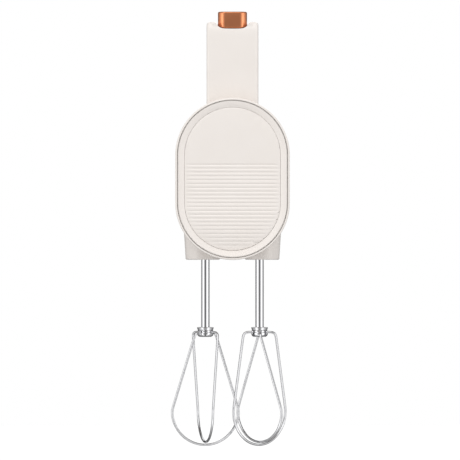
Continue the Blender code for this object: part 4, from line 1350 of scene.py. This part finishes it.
@dataclass(frozen=True)
class Casing:
    """The barrel's two halves, with the bosses and the handle's base."""

    shape: Shape
    handle: Handle
    spindle_x: float = 21.35 * MM
    spindle_y: float = -52.0 * MM
    boss_half: float = 13.65 * MM
    boss_out: float = 2.0 * MM
    boss_height: float = 21.0 * MM
    boss_edge: float = 1.2 * MM
    draft: float = 1.2 * MM
    vents: int = 6
    vent_pitch: float = 7.0 * MM
    vent_width: float = 2.6 * MM
    vent_height: float = 20.0 * MM
    gland_y: float = 52.0 * MM
    gland_radius: float = 5.3 * MM
    post_radius: float = 5.3 * MM
    post_length: float = 24 * MM
    post_inset: float = 6.5 * MM
    pilot_radius: float = 1.8 * MM
    frame_post_radius: float = 4.0 * MM
    collar_radius: float = 7.3 * MM
    collar_height: float = 10.6 * MM
    sleeve_radius: float = 5.7 * MM

    def build(self, paint: Paint) -> None:
        """Builds and dresses both halves."""
        paint.dress(self._lower(), "housing_plastic", "housing", "lower_housing")
        paint.dress(self._upper(), "housing_plastic", "housing", "upper_housing")

    def _core(self) -> Form:
        """The room inside the barrel."""
        return Form.lofted("core", self.shape.skin(inset=WALL, front=WALL, rear=WALL))

    def _pocket(self) -> Form:
        """The room for the bezel."""
        ends = (self.shape.nose_y - WALL, self.shape.nose_y + self.shape.rim_depth)
        return Form.lofted("pocket", [self.shape.bezel(-GAP, y) for y in ends], arc=72)

    def _post(self, z: float) -> Form:
        """A post for one of the heel's screws.

        Args:
            z: The screw's height.

        Returns:
            The post.
        """
        rear, start = self.shape.rear_y, self.shape.rear_y - self.post_length
        profile = [(0.0, start), (self.post_radius, start), (self.post_radius, rear - GAP)]
        profile += [(self.pilot_radius, rear - GAP), (self.pilot_radius, rear - 17 * MM), (0.0, rear - 17 * MM)]
        return Form.turned("post", profile, (0.0, 0.0, z), Axis.Y, 24)

    def _upper(self) -> Form:
        """The upper half with the handle's base.

        Returns:
            The upper housing.
        """
        shape = self.shape
        shell = Form.lofted("upper_shell", shape.skin(), arc=72).halve(shape.seam() + GAP / 2, True)
        shell.join(self.handle.base())
        shell.cut(self._core(), self._pocket())
        low = shape.nose_high - shape.drop - 10 * MM
        for y, radius in ((middle("eject_rod")[1], 3.5 * MM), (self.handle.rear - self.handle.post / 2, 4.0 * MM)):
            shell.cut(Form.cylinder("hole", radius, (low, low + 25 * MM), (0.0, y, 0.0)))
        shell.join(self._post(shape.nose_high - shape.drop - shape.rim_step - self.post_inset))
        return shell.smooth()

    def _lower(self) -> Form:
        """The lower half with both bosses, the vents and the lead's hole.

        Returns:
            The lower housing.
        """
        shape = self.shape
        shell = Form.lofted("lower_shell", shape.skin(), arc=72).halve(shape.seam() - GAP / 2, False)
        shell.cut(self._core(), self._pocket())
        shell.join(self._boss(-1), self._boss(1))
        shell.join(*(self._frame_post(name) for name in ("frame_screw_front", "frame_screw_rear")))
        shell.join(self._post(shape.nose_low + shape.rise + shape.rim_step + self.post_inset))
        low = shape.nose_low - WALL
        pocket, top = shape.nose_low + self.collar_height, low + 60 * MM
        profile = [(0.0, low), (self.collar_radius, low), (self.collar_radius, pocket)]
        profile += [(self.sleeve_radius, pocket), (self.sleeve_radius, top), (0.0, top)]
        for side in (-1, 1):
            shell.cut(Form.turned("passage", profile, (side * self.spindle_x, self.spindle_y, 0.0)))
        shell.cut(self._vents())
        centre = (0.0, self.gland_y, 0.0)
        shell.cut(Form.cylinder("lead_hole", self.gland_radius, (low, low + 30 * MM), centre, steps=48))
        return shell.smooth()

    def _frame_post(self, screw: str) -> Form:
        """A post under the gear frame, bored for its screw.

        Args:
            screw: The screw's CAD node.

        Returns:
            The post.
        """
        foot = self.shape.nose_low + 1.5 * WALL
        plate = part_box("frame_screw_front")[1].z - 2.3 * MM - 4.0 * MM - GAP
        top = min(plate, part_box(screw)[1].z)
        profile = [(0.0, foot), (self.frame_post_radius, foot), (self.frame_post_radius, top)]
        profile += [(self.pilot_radius, top), (self.pilot_radius, top - 12 * MM), (0.0, top - 12 * MM)]
        return Form.turned("frame_post", profile, (*middle(screw)[:2], 0.0), steps=24)

    def _boss(self, side: int) -> Form:
        """A drafted boss round a spindle, with a rounded foot.

        Args:
            side: -1 for the left one, 1 for the right one.

        Returns:
            The boss.
        """
        low = self.shape.nose_low
        half, edge = self.boss_half, self.boss_edge
        foot = [(half - edge + edge * math.cos(t), low + edge + edge * math.sin(t))
                for t in (math.radians(-90 + 15 * step) for step in range(7))]
        top = low + self.boss_height
        profile = [(0.0, low), *foot, (half + self.draft, top), (0.0, top)]
        centre = (side * (self.spindle_x + self.boss_out), self.spindle_y, 0.0)
        return Form.turned("boss", profile, centre, steps=96)

    def _vents(self) -> Form:
        """A row of upright slots with rounded ends, through both sides.

        Returns:
            The cutter.
        """
        y = (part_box("stator_core")[1].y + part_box("rear_bracket")[0].y) / 2
        z = middle("commutator")[2] - 2 * MM
        half_x, half_y, half_z = 2 * self.shape.nose_half, self.vent_width / 2, self.vent_height / 2
        slot = Form.block("vents", (-half_x, y - half_y, z - half_z), (half_x, y + half_y, z + half_z))
        slot.round_edges(half_y * 0.98, 5, lambda e: reach(e, Axis.X) > half_x)
        with slot.editing():
            bpy.ops.transform.translate(value=(0.0, -(self.vents - 1) / 2 * self.vent_pitch, 0.0))
            for _ in range(self.vents - 1):
                move = {"value": (0.0, self.vent_pitch, 0.0)}
                bpy.ops.mesh.duplicate_move(TRANSFORM_OT_translate=move)
        return slot


@dataclass(frozen=True)
class Heel:
    """The cap on the barrel's rear, its rubber pad and its screws."""

    shape: Shape
    depth: float = 6.7 * MM
    edge: float = 1.8 * MM
    pad_margin: float = 12.0 * MM
    pad_thickness: float = 1.7 * MM
    rib_pitch: float = 4.0 * MM
    rib_depth: float = 0.7 * MM
    post_radius: float = 4.6 * MM
    sink_radius: float = 3.3 * MM
    sink_depth: float = 2.3 * MM
    bore_radius: float = 1.8 * MM

    def build(self, paint: Paint) -> None:
        """Builds and dresses the heel's pieces.

        Args:
            paint: The finishes.
        """
        paint.dress(self._cap(), "housing_plastic", "housing", "heel_cap")
        paint.dress(self._pad(), "grey_rubber", "housing", "heel_pad")
        for word in ("lower", "upper"):
            node = "heel_screw_" + word
            paint.dress(self._screw(node), "turned_steel", "housing", node)

    def _outline(self, y: float, inset: float = 0.0) -> Ring:
        """The heel's outline at a depth."""
        return self.shape.ring(self.shape.rear_y, self.shape.rim_step + inset).at(y)

    def _cap(self) -> Form:
        """A shallow cup with a rounded edge and two countersunk holes.

        Returns:
            The cap.
        """
        front = self.shape.rear_y + GAP
        flat = front + self.depth
        rings = [self._outline(flat - WALL, WALL), self._outline(front, WALL), self._outline(front)]
        rings += [self._outline(y, inset) for inset, y in
                  ((self.edge * (1 - math.cos(t)), flat - self.edge * (1 - math.sin(t)))
                   for t in (math.pi / 12 * step for step in range(7)))]
        cap = Form.lofted("heel_shell", rings, arc=72)
        for word in ("lower", "upper"):
            centre = (0.0, 0.0, middle("heel_screw_" + word)[2])
            ends = (front + GAP, flat - WALL / 2)
            cap.join(Form.cylinder("post", self.post_radius, ends, centre, Axis.Y, 32))
            sink = flat - self.sink_depth
            profile = [(0.0, flat + WALL), (self.sink_radius, flat + WALL), (self.sink_radius, sink)]
            profile += [(self.bore_radius, sink), (self.bore_radius, front - WALL), (0.0, front - WALL)]
            cap.cut(Form.turned("sink", profile, centre, Axis.Y, 32))
        return cap.smooth()

    def _pad(self) -> Form:
        """A rubber pad with ribs inside a plain border.

        Returns:
            The pad.
        """
        low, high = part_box("heel_pad")
        outline = self._outline(low.y, self.pad_margin)
        top = high.y - 0.05 * MM
        form = Form.lofted("heel_foot", [outline, outline.at(top)], arc=48)
        centre = middle("heel_pad")[2]
        count = int((high.z - low.z) / self.rib_pitch / 2)
        places = []
        for index in range(-count, count + 1):
            places += [centre + index * self.rib_pitch + 0.8 * MM * share for share in (-1.0, -0.6, 0.6, 1.0)]
        form.slice(Axis.Z, [place for place in places if low.z + 1 * MM < place < high.z - 1 * MM])
        form.slice(Axis.X, [outline.half * share for share in (-0.9, -0.8, 0.8, 0.9)])

        def rib(point: Vector) -> float:
            """How deep the pad is cut at a point.

            Args:
                point: The point.

            Returns:
                The share of the full depth, 0 or 1.
            """
            turns = (point.z - centre) / self.rib_pitch
            near = abs(turns - round(turns)) * self.rib_pitch < 0.55 * MM
            return 1.0 if point.y > top - 0.1 * MM and near and outline.depth_inside(point) > 3.0 * MM else 0.0

        form.push(Axis.Y, -self.rib_depth, rib)
        return form.soften(0.15 * MM, 2, 30.0).smooth()

    def _screw(self, node: str) -> Form:
        """A pan-head screw with a cross recess, in the place of a CAD screw.

        Args:
            node: The CAD screw.

        Returns:
            The screw.
        """
        low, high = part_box(node)
        z = middle(node)[2]
        top, tip = high.y, low.y
        head = (high.x - low.x) / 2
        profile = [(0.0, tip), (0.6 * MM, tip), (1.5 * MM, tip + 1.6 * MM), (1.5 * MM, top - 2 * MM)]
        profile += [(head * share, top - drop * MM)
                    for share, drop in ((1.0, 2), (1.0, 0.9), (0.93, 0.5), (0.75, 0.18), (0.45, 0.03), (0.0, 0.0))]
        screw = Form.turned(node + "_pan", profile, (0.0, 0.0, z), Axis.Y, 32)
        for wide, tall in ((1.9 * MM, 0.4 * MM), (0.4 * MM, 1.9 * MM)):
            screw.cut(Form.block("recess", (-wide, top - 1.2 * MM, z - tall), (wide, top + 1 * MM, z + tall)))
        return screw.smooth()


@dataclass(frozen=True)
class Gland:
    """The rubber bush in the barrel's underside, with a rounded flange."""

    bore: float = 3.4 * MM

    def build(self, paint: Paint) -> None:
        """Builds and dresses the gland.

        Args:
            paint: The finishes.
        """
        low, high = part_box("cord_gland")
        centre = (*middle("cord_gland")[:2], 0.0)
        flange = (high.x - low.x) / 2
        top = low.z + 2.2 * MM
        profile = [(5.0 * MM, high.z), (5.0 * MM, top), (flange, top), (flange, low.z + 1.2 * MM)]
        profile += arc((flange - 1.2 * MM, low.z + 1.2 * MM), 1.2 * MM, -15.0, -90.0, 5)
        profile += [(self.bore + 1.2 * MM, low.z), (self.bore + 0.5 * MM, low.z + 0.2 * MM)]
        profile += [(self.bore, low.z + 0.8 * MM), (self.bore, high.z)]
        form = Form.turned("lead_gland", profile, centre, steps=48, closed=True).smooth()
        paint.dress(form, "grey_rubber", "housing", "cord_gland")


class Turn(Enum):
    """Which way a beater's wires are twisted."""

    LEFT = -1
    RIGHT = 1


@dataclass(frozen=True)
class Beater:
    """A shaft, its pressed hub and two crossing wire loops."""

    word: str
    turn: Turn
    azimuth: float
    slits: float
    wire: float = 1.0 * MM
    skin: float = 0.05 * MM
    radius: float = 27.0 * MM
    hub_radius: float = 6.5 * MM
    hub_z: float = 90.0 * MM
    hub_height: float = 7.6 * MM
    bend: float = 12.5 * MM
    twist: float = math.radians(40.0)

    def build(self, paint: Paint) -> None:
        """Builds and dresses the beater.

        Args:
            paint: The finishes.
        """
        body = "beater_" + self.word
        paint.dress(self._shaft(), "chrome_wire", body, "beater_shaft_" + self.word)
        paint.dress(self._hub(), "chrome_wire", body, "beater_hub_" + self.word)
        for index, letter in enumerate("ab"):
            node = f"beater_wire_{self.word}_{letter}"
            paint.dress(self._loop(f"loop_{self.word}_{letter}", index), "chrome_wire", body, node)

    def _centre(self) -> Vector:
        """The spindle's axis at z = 0."""
        return Vector((*middle("beater_shaft_" + self.word)[:2], 0.0))

    def _shaft(self) -> Form:
        """A rod with a groove for the spring clip near its top.

        Returns:
            The shaft.
        """
        low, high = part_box("beater_shaft_" + self.word)
        radius = (high.x - low.x) / 2
        groove = high.z - 9.0 * MM
        waist = ((0.0, 2.0), (-0.35, 1.8), (-0.7, 1.3), (-0.7, 0.2), (-0.35, -0.3), (0.0, -0.5))
        profile = [(0.0, high.z), *offsets(radius, high.z, ((-0.9, 0.0), (-0.4, -0.4), (0.0, -1.4)))]
        profile += [*offsets(radius, groove, waist), (radius, low.z), (0.0, low.z)]
        return Form.turned("shank_" + self.word, profile, self._centre(), steps=64).smooth()

    def _hub(self) -> Form:
        """A pressed cup: a flared collar over a rounded body, slit between the wires.

        Returns:
            The hub.
        """
        centre = self._centre()
        low, high = self.hub_z - self.hub_height / 2, self.hub_z + self.hub_height / 2
        radius = self.hub_radius
        bore = 3.6 * MM
        floor = low + 1.6 * MM
        lip = ((-0.9, -1.6), (-0.5, -0.2), (-0.25, 0.0), (0.0, -0.2))
        collar = ((-0.15, -1.2), (-0.45, -2.0), (-0.5, -2.5), (-0.2, -3.0))
        profile = [(0.0, floor), (bore, floor), (bore, high - 1.9 * MM), *offsets(radius, high, lip + collar)]
        profile += arc((radius - 2.4 * MM, low + 2.4 * MM), 2.4 * MM, 30.0, -90.0, 10)
        profile.append((0.0, low))
        hub = Form.turned("hub_" + self.word, profile, centre, steps=96)
        for index in range(4):
            self._slit(hub, centre, self.slits + index * math.pi / 2)
        for index in range(2):
            self._way(hub, centre, self.azimuth + index * math.pi / 2)
        return hub.smooth(30.0)

    def _slit(self, hub: Form, centre: Vector, azimuth: float) -> None:
        """Cuts an upright slit into the hub's skin.

        Args:
            hub: The hub.
            centre: The axis.
            azimuth: The slit's direction.
        """
        radius = self.hub_radius
        low = self.hub_z - self.hub_height / 2
        half = 0.7 * MM
        cutter = Form.block("slit", (radius - 2.7 * MM, -half, low - MM), (radius + MM, half, low + 5.4 * MM))
        self._turn(cutter, azimuth, centre)
        hub.cut(cutter)

    def _way(self, hub: Form, centre: Vector, azimuth: float) -> None:
        """Bores the hub for a wire.

        Args:
            hub: The hub.
            centre: The axis.
            azimuth: The wire's direction.
        """
        half = 2 * self.hub_radius
        cutter = Form.cylinder("way", self.wire + 0.12 * MM, (-half, half), (0.0, 0.0, self.hub_z), Axis.Y)
        self._turn(cutter, azimuth - math.pi / 2, centre)
        hub.cut(cutter)

    @staticmethod
    def _turn(form: Form, azimuth: float, centre: Vector) -> None:
        """Turns a cutter about the Z axis, then moves it to the hub.

        Args:
            form: The cutter.
            azimuth: The angle.
            centre: Where it goes.
        """
        form.thing.rotation_euler = (0.0, 0.0, azimuth)
        form.thing.location = centre
        form.activate()
        bpy.ops.object.transform_apply(location=True, rotation=True, scale=True)

    def _loop(self, name: str, index: int) -> Form:
        """A wire down one side of the beater, under its tip and up the other side.

        Args:
            name: The piece's name.
            index: 0 for the lower wire, 1 for the one that passes over it.

        Returns:
            The wire.
        """
        azimuth = self.azimuth + index * math.pi / 2
        bottom = self.wire + index * (2 * self.wire + GAP)
        down = self._arm(azimuth, bottom)
        up = self._arm(azimuth + math.pi, bottom)
        path = self._spaced(down + list(reversed(up))[1:], 1.5 * MM)
        for _ in range(5):
            path = [path[0], *((a + 2 * b + c) / 4 for a, b, c in zip(path, path[1:], path[2:])), path[-1]]
        centre = self._centre()
        points = [centre + point for point in self._spaced(path, 1.3 * MM)]
        return Form.wire(name, points, self.wire - self.skin).smooth(60.0)

    def _arm(self, azimuth: float, bottom: float) -> list[Vector]:
        """One side of a loop, from the hub to the tip.

        Args:
            azimuth: Where it leaves the hub.
            bottom: Its centre line's lowest height.

        Returns:
            The path, about the axis.
        """

        def spot(radius: float, angle: float, z: float) -> Vector:
            """A point at a radius and angle."""
            return Vector((radius * math.cos(angle), radius * math.sin(angle), z))

        widest = self.radius + self.wire
        path = [spot(4.2 * MM, azimuth, self.hub_z), spot(self.bend, azimuth, self.hub_z)]
        for step in range(25):
            angle = math.pi / 2 * step / 24
            z = widest - (widest - bottom) * math.sin(angle)
            path.append(spot(self.radius * math.cos(angle), azimuth + self.turn.value * self.twist, z))
        return path

    @staticmethod
    def _spaced(points: Sequence[Vector], spacing: float) -> list[Vector]:
        """Points at even steps along a path.

        Args:
            points: The path.
            spacing: The step.

        Returns:
            The points.
        """
        lengths = [0.0]
        for first, second in zip(points, points[1:]):
            lengths.append(lengths[-1] + (second - first).length)
        count = round(lengths[-1] / spacing)
        made = []
        index = 0
        for step in range(count + 1):
            goal = lengths[-1] * step / count
            while index < len(points) - 2 and lengths[index + 1] < goal:
                index += 1
            share = (goal - lengths[index]) / (lengths[index + 1] - lengths[index])
            made.append(points[index].lerp(points[index + 1], share))
        return made


class Works:
    """The motor, gearbox and controls inside, which keep their CAD shapes."""

    def dress(self, paint: Paint) -> None:
        """Gives every CAD node that still shows its finish.

        Args:
            paint: The finishes.
        """
        slots = {row["node"]: row["material_slot"] for row in frame["record"]["subparts"]}
        kept = [name for name, thing in frame["nodes"].items() if not thing.hide_render]
        for name in kept:
            paint.dress_node(name, slots[name])
        LOG.info("%d CAD nodes dressed", len(kept))


@dataclass(frozen=True)
class Studio:
    """Floor, lights and camera."""

    floor_radius: float = 2.2
    floor_z: float = -70 * MM
    distance: float = 4.0
    field: float = 0.3588
    aim_x: float = -1.95 * MM
    aim_z: float = 170.4 * MM
    sensor: float = 36.0
    key: float = 0.6
    pitch: float = 42.0
    soft: float = 0.83
    climb: float = 0.26
    ahead: float = 0.17
    tent: tuple = (
        (0.0, 0.02), (0.07, 0.10), (0.25, 0.35), (0.48, 0.72), (0.63, 1.05), (0.72, 1.3), (0.76, 2.2),
        (0.86, 2.4), (0.90, 1.1), (0.94, 0.6), (0.975, 0.3), (0.99, 0.22), (1.0, 0.2),
    )
    panel: tuple = (0.0, 0.80, 0.60)
    panel_edge: tuple = ((0.0, 0.0), (0.88, 0.0), (0.95, 0.9), (1.0, 1.0))
    overhead: tuple = ((0.0, 0.5), (0.3, 0.7), (0.47, 1.0), (0.6, 0.95), (0.7, 0.5), (0.85, 0.15), (1.0, 0.08))

    def build(self) -> None:
        """Sets up the studio."""
        self._floor()
        self._world()
        self._lights()
        self._camera()
        bpy.context.scene.view_settings.view_transform = "Standard"

    def _floor(self) -> None:
        """A pale floor, low enough for the beaters to be pulled out above it."""
        add = bpy.ops.mesh.primitive_circle_add
        place = (0.0, 0.0, self.floor_z)
        form = Form.start("floor", add, vertices=128, radius=self.floor_radius, fill_type="NGON", location=place)
        form.smooth()
        finish = Moulded("studio_floor", (0.97,) * 3, (0.96,) * 3, 0.9, grain=2 * MM, relief=0.002 * MM)
        form.thing.data.materials.append(finish.build())
        form.thing.visible_diffuse = False
        form.thing.visible_glossy = False
        form.thing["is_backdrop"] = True

    def _world(self) -> None:
        """A soft tent: brighter above, with a pattern of light and dark for the metal to reflect."""
        world = bpy.data.worlds.new("tent")
        world.use_nodes = True
        graph = Graph(world.node_tree)
        way = graph.node("ShaderNodeTexCoord", output="Generated")
        height = graph.node("ShaderNodeSeparateXYZ", sockets={0: way}, output="Z")
        front = graph.node("ShaderNodeSeparateXYZ", sockets={0: way}, output="Y") * -0.5 + 0.5
        tent = graph.ramp(self.tent, front)
        over = graph.ramp(self.overhead, height * 0.5 + 0.5)
        toward = graph.node("ShaderNodeVectorMath", {"operation": "DOT_PRODUCT"}, {0: way, 1: self.panel}, "Value")
        panel = graph.ramp(self.panel_edge, toward)
        glossy = graph.blend(1.0, graph.blend(1.0, tent, over, "MULTIPLY"), panel, "ADD")
        even = height * self.climb + front * (2 * self.ahead) + (self.soft - self.ahead)
        soft = graph.node("ShaderNodeCombineXYZ", sockets={axis: even for axis in range(3)})
        seen = graph.blend(graph.node("ShaderNodeLightPath", output="Is Diffuse Ray"), glossy, soft)
        seen = graph.blend(graph.node("ShaderNodeLightPath", output="Is Camera Ray"), seen, (1.0, 1.0, 1.0))
        light = graph.node("ShaderNodeBackground", sockets={"Color": seen, "Strength": 1.0})
        graph.node("ShaderNodeOutputWorld", sockets={"Surface": light})
        bpy.context.scene.world = world

    def _lights(self) -> None:
        """A very soft sun from the upper front."""
        light = bpy.data.lights.new("key", "SUN")
        light.energy = self.key
        light.angle = math.radians(45.0)
        thing = bpy.data.objects.new("key", light)
        thing.rotation_euler = (math.radians(self.pitch), 0.0, math.radians(-12.0))
        bpy.context.scene.collection.objects.link(thing)

    def _camera(self) -> None:
        """A long lens, level with the middle of the object."""
        camera = bpy.data.cameras.new("camera")
        camera.sensor_width = self.sensor
        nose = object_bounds()[0].y
        camera.lens = self.sensor * self.distance / self.field
        camera.clip_end = 100.0
        thing = bpy.data.objects.new("camera", camera)
        thing.location = (self.aim_x, nose - self.distance, self.aim_z)
        thing.rotation_euler = (math.pi / 2, 0.0, 0.0)
        bpy.context.scene.collection.objects.link(thing)
        bpy.context.scene.camera = thing


def main() -> None:
    """Builds the mixer and its studio."""
    logging.basicConfig(level=logging.INFO, format="%(message)s", stream=sys.stdout)
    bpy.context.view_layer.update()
    paint = Paint()
    shape = Shape()
    handle = Handle(shape)
    Nose(shape).build(paint)
    Control(handle).build(paint)
    Casing(shape, handle).build(paint)
    Heel(shape).build(paint)
    Gland().build(paint)
    Beater("left", Turn.LEFT, math.radians(53.0), math.radians(270.0)).build(paint)
    Beater("right", Turn.RIGHT, 0.0, math.radians(45.0)).build(paint)
    Works().dress(paint)
    Studio().build()
    Form.clear()


if __name__ == "__main__":
    main()
